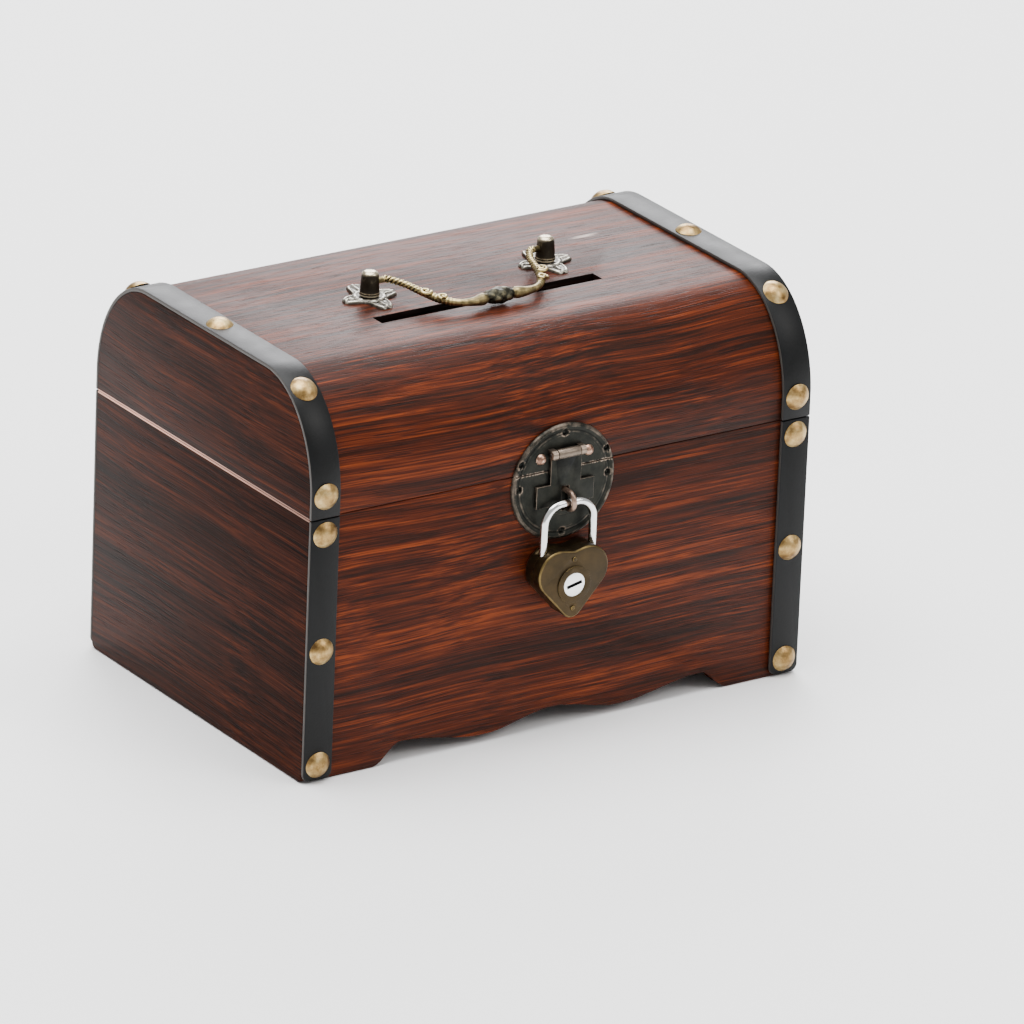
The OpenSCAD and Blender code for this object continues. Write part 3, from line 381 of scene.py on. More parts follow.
half_turn = step(bent_tree, "GeometryNodeCurveArc", {
    "Resolution": sum_of(bent_tree, "MULTIPLY", asked("Steps"), 2.0), "Radius": 1.0, "Start Angle": 0.0, "Sweep Angle": math.pi})
spot = step(bent_tree, "ShaderNodeSeparateXYZ", {"Vector": out(step(bent_tree, "GeometryNodeInputPosition"))})
flat_half = sum_of(bent_tree, "SUBTRACT", asked("Half depth"), asked("Shoulder reach"))
across = sum_of(bent_tree, "ADD", sum_of(bent_tree, "MULTIPLY", out(spot, "X"), asked("Shoulder reach")),
                sum_of(bent_tree, "MULTIPLY", sum_of(bent_tree, "SIGN", out(spot, "X")), flat_half))
upward = sum_of(bent_tree, "ADD", sum_of(bent_tree, "MULTIPLY", out(spot, "Y"), asked("Shoulder drop")),
                sum_of(bent_tree, "SUBTRACT", asked("Height"), asked("Shoulder drop")))
at_the_end = sum_of(bent_tree, "LESS_THAN", out(spot, "Y"), 0.001)
dropped = sum_of(bent_tree, "MULTIPLY", at_the_end, sum_of(bent_tree, "SUBTRACT", asked("Lower edge"), upward))
upward = sum_of(bent_tree, "ADD", upward, dropped)
outline = step(bent_tree, "GeometryNodeSetPosition", {
    "Geometry": half_turn, "Position": out(step(bent_tree, "ShaderNodeCombineXYZ", {"X": asked("Start"), "Y": across, "Z": upward}))})
sheet = step(bent_tree, "GeometryNodeExtrudeMesh", {
    "Mesh": step(bent_tree, "GeometryNodeCurveToMesh", {"Curve": outline}),
    "Offset": out(step(bent_tree, "ShaderNodeCombineXYZ", {"X": 1.0, "Y": 0.0, "Z": 0.0})), "Offset Scale": asked("Length")}, mode="EDGES")
facing = step(bent_tree, "ShaderNodeSeparateXYZ", {"Vector": out(step(bent_tree, "GeometryNodeInputNormal"))})
sheet = step(bent_tree, "GeometryNodeFlipFaces", {
    "Mesh": sheet, "Selection": out(step(bent_tree, "FunctionNodeCompare", {"A": sum_of(bent_tree, "ADD",
        sum_of(bent_tree, "MULTIPLY", out(facing, "Z"), 1.0),
        sum_of(bent_tree, "MULTIPLY", out(facing, "Y"), sum_of(bent_tree, "SIGN", out(step(bent_tree, "ShaderNodeSeparateXYZ", {
            "Vector": out(step(bent_tree, "GeometryNodeInputPosition"))}), "Y")))), "B": 0.0}, operation="LESS_THAN"))})
lifted = step(bent_tree, "GeometryNodeExtrudeMesh", {"Mesh": sheet, "Offset Scale": asked("Stand off"), "Individual": False})
outer = step(bent_tree, "GeometryNodeSeparateGeometry", {"Geometry": out(lifted, "Mesh"), "Selection": out(lifted, "Top")}, domain="FACE")
inner = step(bent_tree, "GeometryNodeExtrudeMesh", {
    "Mesh": out(outer, "Selection"), "Offset Scale": sum_of(bent_tree, "MULTIPLY", asked("Thickness"), -1.0), "Individual": False})
inner = step(bent_tree, "GeometryNodeFlipFaces", {"Mesh": out(inner, "Mesh")})
both = step(bent_tree, "GeometryNodeJoinGeometry")
bent_tree.links.new(out(outer, "Selection"), both.inputs[0])
bent_tree.links.new(out(inner), both.inputs[0])
solid = step(bent_tree, "GeometryNodeMergeByDistance", {"Geometry": both, "Distance": 0.005 * mm})
saw = step(bent_tree, "GeometryNodeMeshCube", {"Size": out(step(bent_tree, "ShaderNodeCombineXYZ", {
    "X": asked("Slot length"), "Y": asked("Slot width"), "Z": sum_of(bent_tree, "MULTIPLY", asked("Thickness"), 6.0)}))})
saw = step(bent_tree, "GeometryNodeTransform", {"Geometry": out(saw, "Mesh"), "Translation": out(step(
    bent_tree, "ShaderNodeCombineXYZ", {"X": 0.0, "Y": asked("Slot centre"), "Z": asked("Height")}))})
cut = step(bent_tree, "GeometryNodeMeshBoolean", {0: solid, 1: saw}, operation="DIFFERENCE", solver="EXACT")
slotted = step(bent_tree, "GeometryNodeSwitch", {
    "Switch": out(step(bent_tree, "FunctionNodeCompare", {"A": asked("Slot length"), "B": 0.0}, operation="GREATER_THAN")),
    "False": solid, "True": out(cut, "Mesh")}, input_type="GEOMETRY")
end_tree(bent_tree, given, slotted)

lid_sheet = grow("bent_lid_sheet", bpy.data.meshes.new("bent_lid_sheet"), bent_tree, Start=-between / 2, Length=between,
                 Half_depth=half_deep, Height=box_tall, Lower_edge=lid_edge, Shoulder_reach=shoulder_reach,
                 Shoulder_drop=shoulder_drop, Stand_off=0.0, Thickness=3.5 * mm, Slot_length=64 * mm, Slot_width=4.2 * mm,
                 Slot_centre=-13.5 * mm, Steps=24, Finish=face_wood)
settle(ease(lid_sheet, 0.12 * mm), "lid", "wood_face", "lid_shell")

# ---- Straps ----
# Black leather-look straps wrap each end: one long one over the lid, and short ones down the front and back of the body.
# They are cut from thin sheet with a pale woven back that shows as a grey line along the cut edges, and glued on.
strap_wide, strap_thick = 8.2 * mm, 1 * mm
strap_middle = box_long / 2 - strap_wide / 2

leather, leather_tree, leather_shader = new_finish("black_leather")
leather_spot = out(step(leather_tree, "ShaderNodeTexCoord"), "Object")
pebbles = step(leather_tree, "ShaderNodeTexVoronoi", {"Vector": leather_spot, "Scale": 1900.0, "Randomness": 1.0}, feature="SMOOTH_F1")
leather_cloud = out(step(leather_tree, "ShaderNodeTexNoise", {"Vector": leather_spot, "Scale": 160.0, "Detail": 4.0}), "Fac")
leather_facing = step(leather_tree, "ShaderNodeSeparateXYZ", {"Vector": out(step(leather_tree, "ShaderNodeNewGeometry"), "Normal")})
cut_edge = between_0_and_1(leather_tree, sum_of(leather_tree, "ABSOLUTE", out(leather_facing, "X")), 0.45, 0.8)
leather_colour = shades(leather_tree, leather_cloud, [(0.3, "#030404"), (0.7, "#070809")])
leather_colour = blend(leather_tree, sum_of(leather_tree, "MULTIPLY", cut_edge, 0.8), leather_colour, tint("#4a4643"))
leather_tree.links.new(leather_colour, leather_shader.inputs["Base Color"])
leather_tree.links.new(sum_of(leather_tree, "ADD", sum_of(leather_tree, "MULTIPLY", leather_cloud, 0.16), 0.34), leather_shader.inputs["Roughness"])
leather_shader.inputs["Specular IOR Level"].default_value = 0.18
leather_tree.links.new(out(step(leather_tree, "ShaderNodeBump", {
    "Height": sum_of(leather_tree, "ADD", out(pebbles, "Distance"), leather_cloud), "Strength": 0.25, "Distance": 0.08 * mm})), leather_shader.inputs["Normal"])

strap_round, strap_low = 2 * mm, 0.4 * mm
for side, middle in (("left", -strap_middle), ("right", strap_middle)):
    over = grow(f"{side}_lid_strap", bpy.data.meshes.new("strap"), bent_tree, Start=middle - strap_wide / 2, Length=strap_wide,
                Half_depth=half_deep, Height=box_tall, Lower_edge=lid_edge, Shoulder_reach=shoulder_reach,
                Shoulder_drop=shoulder_drop, Stand_off=strap_thick, Thickness=strap_thick, Slot_length=0.0, Steps=24, Finish=leather)
    settle(ease(over, 0.28 * mm), "lid", "strap_leather", f"strap_lid_{side}")
    low, left, right = strap_low + strap_round, middle - strap_wide / 2, middle + strap_wide / 2
    strap_outline = (arc(left + strap_round, low, strap_round, strap_round, 180, 270, 6)
                     + arc(right - strap_round, low, strap_round, strap_round, 270, 360, 6) + [(right, split), (left, split)])
    for face, start in (("front", -half_deep - strap_thick), ("back", half_deep)):
        down = board(f"{side}_{face}_strap", strap_outline, "y", start, strap_thick, leather)
        settle(ease(down, 0.28 * mm), "box_body", "strap_leather", f"strap_body_{face}_{side}")

# ---- Studs ----
# Each strap is pinned with domed brass-coated steel studs, three down each body strap and five over each lid strap.
# They are stamped and knocked in by hand, so none sits quite square, and the plating is patchy.
stud_wide, stud_tall = 6.8 * mm, 1.66 * mm

stud_brass, brass_tree, brass_shader = new_finish("pale_stud_brass")
brass_spot = out(step(brass_tree, "ShaderNodeTexCoord"), "Object")
patches = out(step(brass_tree, "ShaderNodeTexNoise", {"Vector": brass_spot, "Scale": 330.0, "Detail": 5.0, "Roughness": 0.62}), "Fac")
specks = out(step(brass_tree, "ShaderNodeTexNoise", {"Vector": brass_spot, "Scale": 1500.0, "Detail": 3.0}), "Fac")
brass_colour = shades(brass_tree, between_0_and_1(brass_tree, patches, 0.3, 0.7), [
    (0.0, "#644a28"), (0.3, "#8a6d40"), (0.6, "#ab8e5b"), (1.0, "#d2bb86")])
brass_colour = blend(brass_tree, sum_of(brass_tree, "MULTIPLY", between_0_and_1(brass_tree, specks, 0.6, 0.75), 0.4), brass_colour, tint("#6e5638"))
brass_tree.links.new(brass_colour, brass_shader.inputs["Base Color"])
brass_shader.inputs["Metallic"].default_value = 0.85
brass_tree.links.new(sum_of(brass_tree, "ADD", sum_of(brass_tree, "MULTIPLY", patches, 0.35), 0.2), brass_shader.inputs["Roughness"])
brass_tree.links.new(out(step(brass_tree, "ShaderNodeBump", {
    "Height": sum_of(brass_tree, "ADD", patches, sum_of(brass_tree, "MULTIPLY", specks, 0.4)), "Strength": 0.45, "Distance": 0.15 * mm})), brass_shader.inputs["Normal"])

nail_tree, given = new_tree("domed_nails", {
    "Head width": 0.0068, "Head height": 0.0017, "Shank width": 0.0012, "Shank length": 0.007,
    "Tilt": 0.0, "Unevenness": 0.0, "Rings": 8, "Sides": 28, "Seed": 3})
head_radius = sum_of(nail_tree, "MULTIPLY", asked("Head width"), 0.5)
cap = step(nail_tree, "GeometryNodeMeshCone", {
    "Vertices": asked("Sides"), "Side Segments": asked("Rings"), "Radius Top": 0.0, "Radius Bottom": head_radius, "Depth": asked("Head height")})
cap_spot = step(nail_tree, "ShaderNodeSeparateXYZ", {"Vector": out(step(nail_tree, "GeometryNodeInputPosition"))})
off_centre = sum_of(nail_tree, "ADD", sum_of(nail_tree, "POWER", sum_of(nail_tree, "ABSOLUTE", out(cap_spot, "X")), 2.0),
                    sum_of(nail_tree, "POWER", sum_of(nail_tree, "ABSOLUTE", out(cap_spot, "Y")), 2.0))
ball = sum_of(nail_tree, "DIVIDE", sum_of(nail_tree, "ADD", sum_of(nail_tree, "POWER", head_radius, 2.0), sum_of(nail_tree, "POWER", asked("Head height"), 2.0)),
              sum_of(nail_tree, "MULTIPLY", asked("Head height"), 2.0))
cap_up = sum_of(nail_tree, "SUBTRACT", sum_of(nail_tree, "SQRT", sum_of(nail_tree, "SUBTRACT", sum_of(nail_tree, "POWER", ball, 2.0), off_centre)),
                sum_of(nail_tree, "SUBTRACT", ball, asked("Head height")))
cap = step(nail_tree, "GeometryNodeSetPosition", {"Geometry": out(cap, "Mesh"), "Position": out(step(
    nail_tree, "ShaderNodeCombineXYZ", {"X": out(cap_spot, "X"), "Y": out(cap_spot, "Y"), "Z": cap_up}))})
shank = step(nail_tree, "GeometryNodeMeshCylinder", {"Vertices": 8, "Radius": sum_of(nail_tree, "MULTIPLY", asked("Shank width"), 0.5), "Depth": asked("Shank length")})
shank = step(nail_tree, "GeometryNodeTransform", {"Geometry": out(shank, "Mesh"), "Translation": out(step(
    nail_tree, "ShaderNodeCombineXYZ", {"X": 0.0, "Y": 0.0, "Z": sum_of(nail_tree, "MULTIPLY", asked("Shank length"), -0.5)}))})
nail = step(nail_tree, "GeometryNodeJoinGeometry")
nail_tree.links.new(out(cap), nail.inputs[0])
nail_tree.links.new(out(shank), nail.inputs[0])
outward = step(nail_tree, "GeometryNodeInputNamedAttribute", {"Name": "outward"}, data_type="FLOAT_VECTOR")
square_on = step(nail_tree, "FunctionNodeAlignRotationToVector", {"Vector": out(outward, "Attribute")}, axis="Z")
least = step(nail_tree, "ShaderNodeCombineXYZ", {"X": sum_of(nail_tree, "MULTIPLY", asked("Tilt"), -1.0), "Y": sum_of(nail_tree, "MULTIPLY", asked("Tilt"), -1.0), "Z": -3.0})
most = step(nail_tree, "ShaderNodeCombineXYZ", {"X": asked("Tilt"), "Y": asked("Tilt"), "Z": 3.0})
knock = step(nail_tree, "FunctionNodeRandomValue", {"Min": least, "Max": most, "Seed": asked("Seed")}, data_type="FLOAT_VECTOR")
turned = step(nail_tree, "FunctionNodeRotateRotation", {
    "Rotation": out(square_on), "Rotate By": out(step(nail_tree, "FunctionNodeEulerToRotation", {"Euler": out(knock)}))}, rotation_space="LOCAL")
driven = step(nail_tree, "GeometryNodeInstanceOnPoints", {"Points": given.outputs["Geometry"], "Instance": nail, "Rotation": turned})
loose = step(nail_tree, "GeometryNodeRealizeInstances", {"Geometry": driven})
dents = step(nail_tree, "ShaderNodeTexNoise", {"Vector": out(step(nail_tree, "GeometryNodeInputPosition")), "Scale": 520.0, "Detail": 1.0})
dent = step(nail_tree, "ShaderNodeVectorMath", {0: out(step(nail_tree, "GeometryNodeInputNormal")), 3: sum_of(
    nail_tree, "MULTIPLY", sum_of(nail_tree, "SUBTRACT", out(dents, "Fac"), 0.62), asked("Unevenness"))}, operation="SCALE")
loose = step(nail_tree, "GeometryNodeSetPosition", {"Geometry": loose, "Offset": dent})
end_tree(nail_tree, given, loose)


def nail_points(name, places):
    """A mesh of bare points, each with the way that its nail points outward."""
    mesh = bpy.data.meshes.new(name)
    mesh.from_pydata([p for p, way in places], [], [])
    ways = mesh.attributes.new("outward", "FLOAT_VECTOR", "POINT")
    for i, (p, way) in enumerate(places):
        ways.data[i].vector = way
    return mesh


def on_shoulder(degrees, off):
    """A point on the lid's rear shoulder, as depth and height, and the way that faces out there."""
    t = math.radians(degrees)
    way = Vector((math.cos(t) / shoulder_reach, math.sin(t) / shoulder_drop)).normalized()
    return (half_deep - shoulder_reach + shoulder_reach * math.cos(t) + off * way[0],
            box_tall - shoulder_drop + shoulder_drop * math.sin(t) + off * way[1]), way


face_out = half_deep + strap_thick
for side, middle, seed in (("left", -strap_middle, 5), ("right", strap_middle, 11)):
    down = [((middle, s * face_out, z), (0, s, 0)) for s in (-1, 1) for z in (4.4 * mm, 34 * mm, 64 * mm)]
    over = [((middle, s * face_out, 73.8 * mm), (0, s, 0)) for s in (-1, 1)] + [((middle, 0, box_tall + strap_thick), (0, 0, 1))]
    (deep, high), way = on_shoulder(61, strap_thick)
    over += [((middle, s * deep, high), (0, s * way[0], way[1])) for s in (-1, 1)]
    for part, places, body in (("body", down, "box_body"), ("lid", over, "lid")):
        piece = grow(f"{side}_{part}_studs", nail_points("studs", places), nail_tree, Head_width=stud_wide, Head_height=stud_tall,
                     Shank_width=1.2 * mm, Shank_length=6.8 * mm, Tilt=0.05, Unevenness=0.16 * mm, Seed=seed, Finish=stud_brass)
        settle(piece, body, "stud_brass", f"studs_{part}_{side}", crease=50)

# ---- Rear hinges ----
# Two small butt hinges hold the lid at the back: blacked brass leaves rolled round a plain steel pin.
# Four round-headed nails hold each hinge, two in the body and two in the lid.


def worn_metal(name, hollow, plain, wear_and_highlight, rough, worn_rough, cloud_size=300.0, metallic=0.9, grit_depth=0.3):
    """Old plated metal: dark where it is hollow, and bright where the attribute called wear_and_highlight is high,
    which marks worn edges and painted highlights.
    """
    finish, tree, shader = new_finish(name)
    spot = out(step(tree, "ShaderNodeTexCoord"), "Object")
    cloud = out(step(tree, "ShaderNodeTexNoise", {"Vector": spot, "Scale": cloud_size, "Detail": 5.0, "Roughness": 0.62}), "Fac")
    grit = out(step(tree, "ShaderNodeTexNoise", {"Vector": spot, "Scale": 2200.0, "Detail": 2.0}), "Fac")
    wear_and_sheen = out(step(tree, "ShaderNodeAttribute", attribute_name="wear_and_highlight"), "Fac")
    wear_and_sheen = sum_of(tree, "ADD", wear_and_sheen, sum_of(tree, "MULTIPLY", sum_of(tree, "SUBTRACT", cloud, 0.5), 1.0))
    bright = between_0_and_1(tree, wear_and_sheen, 0.2, 0.7)
    colour = shades(tree, cloud, [(0.32, plain[0]), (0.68, plain[1])])
    colour = blend(tree, between_0_and_1(tree, wear_and_sheen, -0.15, -0.7), colour, tint(hollow))
    colour = blend(tree, bright, colour, tint(wear_and_highlight))
    tree.links.new(colour, shader.inputs["Base Color"])
    shader.inputs["Metallic"].default_value = metallic
    gloss = sum_of(tree, "ADD", sum_of(tree, "MULTIPLY", bright, worn_rough - rough), sum_of(tree, "MULTIPLY", cloud, 0.2))
    tree.links.new(sum_of(tree, "ADD", gloss, rough - 0.1), shader.inputs["Roughness"])
    pits = sum_of(tree, "ADD", sum_of(tree, "MULTIPLY", grit, 0.4), cloud)
    tree.links.new(out(step(tree, "ShaderNodeBump", {"Height": pits, "Strength": grit_depth, "Distance": 0.12 * mm})), shader.inputs["Normal"])
    return finish


latch_bronze = worn_metal("latch_bronze", "#070807", ("#181a17", "#2c2c27"), "#87786a", 0.5, 0.34)
plain_steel = worn_metal("plain_steel", "#4a4a4a", ("#8d8d8e", "#b4b4b6"), "#d6d6d8", 0.34, 0.25)


def rub_edges(piece):
    """Works out how far each point stands out or lies hollow, from -1 to 1, and keeps it as the attribute called
    wear_and_highlight.
    """
    shape = bmesh.new()
    shape.from_mesh(piece.data)
    sums = [0.0] * len(shape.verts)
    for edge in shape.edges:
        if len(edge.link_faces) != 2 or edge.calc_length() < 1e-7:
            continue
        spread = sum(min(face.calc_area() / edge.calc_length(), 2 * mm) for face in edge.link_faces) / 2
        bend = edge.calc_face_angle_signed(0.0) / max(spread, 0.02 * mm)
        for corner in edge.verts:
            sums[corner.index] += bend / 2
    shape.free()
    wear_and_highlight = piece.data.attributes.new("wear_and_highlight", "FLOAT", "POINT")
    wear_and_highlight.data.foreach_set("value", [max(-1.0, min(1.0, 0.22 * mm * total)) for total in sums])
    return piece


def brighten_where(piece, more, test):
    """Adds to the attribute called wear_and_highlight at the points that pass a test, which measures from the middle of
    the wood, so that they come out brighter.
    """
    wear_and_highlight = piece.data.attributes["wear_and_highlight"].data
    for i, corner in enumerate(piece.data.vertices):
        if test(corner.co.x / mm, (corner.co.y - from_origin) / mm, corner.co.z / mm):
            wear_and_highlight[i].value = max(-1.0, min(1.0, wear_and_highlight[i].value + more))


def clean_copy(name, node, finish, rounding=0.12 * mm, near=None, steps=2):
    """A copy of a drawn part as one skin, with its sharp edges eased. near picks the edges by their middle point."""
    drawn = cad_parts[node]
    shape = bmesh.new()
    shape.from_mesh(drawn.data)
    shape.transform(drawn.matrix_world)
    bmesh.ops.remove_doubles(shape, verts=shape.verts, dist=0.003 * mm)
    bmesh.ops.dissolve_limit(shape, angle_limit=math.radians(0.6), verts=shape.verts, edges=shape.edges)
    bmesh.ops.recalc_face_normals(shape, faces=shape.faces)
    sharp = [e for e in shape.edges if len(e.link_faces) == 2 and abs(e.calc_face_angle(0)) > math.radians(40)
             and (near is None or near((e.verts[0].co + e.verts[1].co) / 2))]
    if rounding:
        bmesh.ops.bevel(shape, geom=sharp, offset=rounding, segments=steps, profile=0.5, affect="EDGES", clamp_overlap=True)
    mesh = bpy.data.meshes.new(name)
    shape.to_mesh(mesh)
    shape.free()
    mesh.materials.append(finish)
    return plain_object(name, mesh)


def drawn_place(piece, body, slot, *nodes, crease=35):
    """Settles a piece that is already where it was drawn, and rubs its edges."""
    return rub_edges(settle(piece, body, slot, *nodes, crease=crease, from_wood=False))


hinge_middle, hinge_up, leaf_thick, nail_off = 36 * mm, 68.1 * mm, 0.7 * mm, 5.58 * mm
for side in ("left", "right"):
    for leaf, body in (("body", "box_body"), ("lid", "lid")):
        node = f"hinge_{side}_{leaf}_leaf"
        drawn_place(clean_copy(f"{side}_hinge_{leaf}_leaf", node, latch_bronze, 0.1 * mm), body, "latch_bronze", node)
    drawn_place(clean_copy(f"{side}_hinge_pin", f"hinge_{side}_pin", plain_steel, 0.1 * mm), "box_body", "plain_steel", f"hinge_{side}_pin")
for leaf, body, up in (("body", "box_body", -1), ("lid", "lid", 1)):
    places = [((s * hinge_middle + x, half_deep + leaf_thick, hinge_up + up * nail_off), (0, 1, 0)) for s in (-1, 1) for x in (-6 * mm, 6 * mm)]
    nails = grow(f"hinge_{leaf}_nails", nail_points("nails", places), nail_tree, Head_width=2.5 * mm, Head_height=0.95 * mm,
                 Shank_width=1 * mm, Shank_length=3.1 * mm, Tilt=0.03, Unevenness=0.03 * mm, Rings=5, Sides=18, Seed=7, Finish=stud_brass)
    settle(nails, body, "stud_brass", f"hinge_{leaf}_nails", crease=50)

# ---- Latch ----
# A pressed bronze disc with a raised rim is cut across into two plates, one on the lid and one on the body.
# The hasp hangs from a pin in two rolled knuckles and closes over a bent wire staple. Two nails hold the lid's plate.
plate_wide, plate_thick, plate_up = 29.8 * mm, 0.8 * mm, 64.6 * mm
hasp_deep, hasp_up = -50.15 * mm, 72.6 * mm
staple_up, staple_wire, staple_pitch, staple_bend = 60.6 * mm, 1.4 * mm, 4.4 * mm, -51.5 * mm
empty_holes = [(-0.83, 0.43), (0.83, 0.43), (0, 0.85), (-0.86, 0), (0.86, 0), (0, -0.86)]


def hump(distance, width):
    """A smooth bump, 1 at no distance and falling away over the width."""
    return math.exp(-(distance / width) ** 2)


def relief_disc(rings, sides, reach, height):
    """A plate lying on z = 0, raised on top: its outline comes from reach(angle), its top from height(share, angle, x, y)."""
    shape = bmesh.new()
    middle = shape.verts.new((0, 0, height(0.0, 0.0, 0.0, 0.0)))
    last = None
    for ring in range(1, rings + 1):
        share = ring / rings
        row = []
        for k in range(sides):
            t = 2 * math.pi * k / sides
            x, y = reach(t) * share * math.cos(t), reach(t) * share * math.sin(t)
            row.append(shape.verts.new((x, y, height(share, t, x, y))))
        for k in range(sides):
            j = (k + 1) % sides
            shape.faces.new((middle, row[k], row[j]) if last is None else (last[k], row[k], row[j], last[j]))
        last = row
    low = [shape.verts.new((v.co.x, v.co.y, 0)) for v in last]
    for k in range(sides):
        j = (k + 1) % sides
        shape.faces.new((last[k], low[k], low[j], last[j]))
    shape.faces.new(low[::-1])
    return shape


def latch_height(share, t, x, y):
    """The pressed face of the latch disc: a raised rim with a groove inside it, and a lip round each empty hole."""
    radius = share * plate_wide / 2 / mm
    high = 0.72 + 0.2 * hump(radius - 14.15, 0.5) - 0.14 * hump(radius - 13.15, 0.24) - 0.05 * hump(radius - 12.3, 0.14)
    high -= 0.45 * max(0.0, (radius - 14.55) / 0.35) ** 2
    high += 0.05 * noise.noise(Vector((x, y, 0)) * 420)
    for a, b in empty_holes:
        away = math.hypot(x - a * plate_wide / 2, y - b * plate_wide / 2) / mm
        high += 0.06 * hump(away - 1.15, 0.4)
        high = min(high, 0.08 + 3.0 * max(0.0, away - 0.62))
    return high * mm


def cut_flat(shape, line, keep_above):
    """Saws a plate along y = line, keeps one side, and eases the front edge of the cut."""
    cut = bmesh.ops.bisect_plane(shape, geom=shape.verts[:] + shape.edges[:] + shape.faces[:], plane_co=(0, line, 0), plane_no=(0, 1, 0),
                                 clear_inner=keep_above, clear_outer=not keep_above)
    rim = [e for e in shape.edges if e.is_boundary]
    bmesh.ops.holes_fill(shape, edges=rim, sides=0)
    front = [e for e in shape.edges if all(abs(v.co.y - line) < 1e-6 and v.co.z > 0.4 * mm for v in e.verts)]
    bmesh.ops.bevel(shape, geom=front, offset=0.14 * mm, segments=2, profile=0.5, affect="EDGES", clamp_overlap=False)


upright = Matrix(((1, 0, 0, 0), (0, 0, -1, -half_deep), (0, 1, 0, plate_up), (0, 0, 0, 1)))


def stand_up(name, shape, finish):
    """Stands a plate up against the front of the box."""
    shape.transform(upright)
    mesh = bpy.data.meshes.new(name)
    shape.to_mesh(mesh)
    mesh.materials.append(finish)
    return plain_object(name, mesh)


def rod(shape, start, end, radius, sides=20, rounding=0.15 * mm):
    """Adds a round bar with eased ends to a mesh."""
    way = Vector(end) - Vector(start)
    turn = way.to_track_quat("Z", "Y").to_matrix().to_4x4()
    rings = [(0, radius - rounding), (rounding, radius), (way.length - rounding, radius), (way.length, radius - rounding)]
    rows = [[shape.verts.new(Vector(start) + turn @ Vector((r * math.cos(2 * math.pi * k / sides), r * math.sin(2 * math.pi * k / sides), z)))
             for k in range(sides)] for z, r in rings]
    for low, high in zip(rows, rows[1:]):
        for k in range(sides):
            j = (k + 1) % sides
            shape.faces.new((low[k], low[j], high[j], high[k]))
    shape.faces.new(rows[0][::-1])
    shape.faces.new(rows[-1])


for name, line, above in (("latch_bottom_plate", split - plate_up, False), ("latch_top_plate", lid_edge - plate_up, True)):
    shape = relief_disc(74, 240, lambda t: plate_wide / 2, latch_height)
    cut_flat(shape, line, above)
    if above:
        for s in (-1, 1):
            rod(shape, (s * 3.25 * mm, hasp_up - plate_up, -hasp_deep - half_deep), (s * 4.9 * mm, hasp_up - plate_up, -hasp_deep - half_deep), 1.25 * mm)
            web = bmesh.ops.create_cube(shape, size=1.0)
            bmesh.ops.scale(shape, vec=(1.5 * mm, 1.2 * mm, 1.5 * mm), verts=web["verts"])
            bmesh.ops.translate(shape, vec=(s * 4.07 * mm, hasp_up - plate_up + 0.6 * mm, 1.35 * mm), verts=web["verts"])
    plate = rub_edges(settle(stand_up(name, shape, latch_bronze), "lid" if above else "box_body", "latch_bronze", name, crease=40))
    if above:
        # The front of the knuckles on the lid's plate is made brighter.
        brighten_where(plate, 0.25, lambda x, y, z: y < -49.6)
    else:
        # Painted highlight along the upward-facing cut edge of the body's plate.
        brighten_where(plate, 0.8, lambda x, y, z: z > 67.75 and y < -48.5)

hasp = drawn_place(clean_copy("hasp", "latch_hasp", latch_bronze, 0.17 * mm), "hasp", "latch_bronze", "latch_hasp")
# The hasp is made brighter along its top, round the pin.
brighten_where(hasp, 0.25, lambda x, y, z: z > 71.3)
drawn_place(clean_copy("hasp_pin", "latch_hasp_pin", plain_steel, 0.1 * mm), "lid", "plain_steel", "latch_hasp_pin")

wire_tree, given = new_tree("wire_along_a_path", {
    "Sides": 20, "Strands": 3.0, "Twist pitch": 0.004, "Twist depth": 0.0, "Bead pitch": 0.001, "Bead depth": 0.0})
line = step(wire_tree, "GeometryNodeMeshToCurve", {"Mesh": given.outputs["Geometry"]})
line = step(wire_tree, "GeometryNodeStoreNamedAttribute", {
    "Geometry": line, "Name": "along", "Value": out(step(wire_tree, "GeometryNodeSplineParameter"), "Length")}, data_type="FLOAT", domain="POINT")
loop = step(wire_tree, "GeometryNodeCurvePrimitiveCircle", {"Resolution": asked("Sides"), "Radius": 1.0})
loop = step(wire_tree, "GeometryNodeStoreNamedAttribute", {
    "Geometry": loop, "Name": "round", "Value": sum_of(wire_tree, "MULTIPLY", out(step(wire_tree, "GeometryNodeSplineParameter"), "Factor"), 2 * math.pi)},
    data_type="FLOAT", domain="POINT")


def kept(tree, name):
    """A number kept on the points under that name."""
    return out(step(tree, "GeometryNodeInputNamedAttribute", {"Name": name}, data_type="FLOAT"), "Attribute")


skin = step(wire_tree, "GeometryNodeCurveToMesh", {"Curve": line, "Profile Curve": loop, "Scale": kept(wire_tree, "thick"), "Fill Caps": True})
twist = sum_of(wire_tree, "ADD", kept(wire_tree, "round"), sum_of(wire_tree, "MULTIPLY", sum_of(
    wire_tree, "DIVIDE", kept(wire_tree, "along"), asked("Twist pitch")), 2 * math.pi))
strand = sum_of(wire_tree, "ABSOLUTE", sum_of(wire_tree, "COSINE", sum_of(wire_tree, "MULTIPLY", twist, sum_of(wire_tree, "MULTIPLY", asked("Strands"), 0.5))))
bead = sum_of(wire_tree, "ABSOLUTE", sum_of(wire_tree, "SINE", sum_of(wire_tree, "MULTIPLY", sum_of(
    wire_tree, "DIVIDE", kept(wire_tree, "along"), asked("Bead pitch")), math.pi)))
dip = sum_of(wire_tree, "ADD", sum_of(wire_tree, "MULTIPLY", sum_of(wire_tree, "MULTIPLY", sum_of(wire_tree, "SUBTRACT", strand, 1.0), asked("Twist depth")), kept(wire_tree, "rope")),
             sum_of(wire_tree, "MULTIPLY", sum_of(wire_tree, "MULTIPLY", sum_of(wire_tree, "SUBTRACT", bead, 1.0), asked("Bead depth")), kept(wire_tree, "bead")))
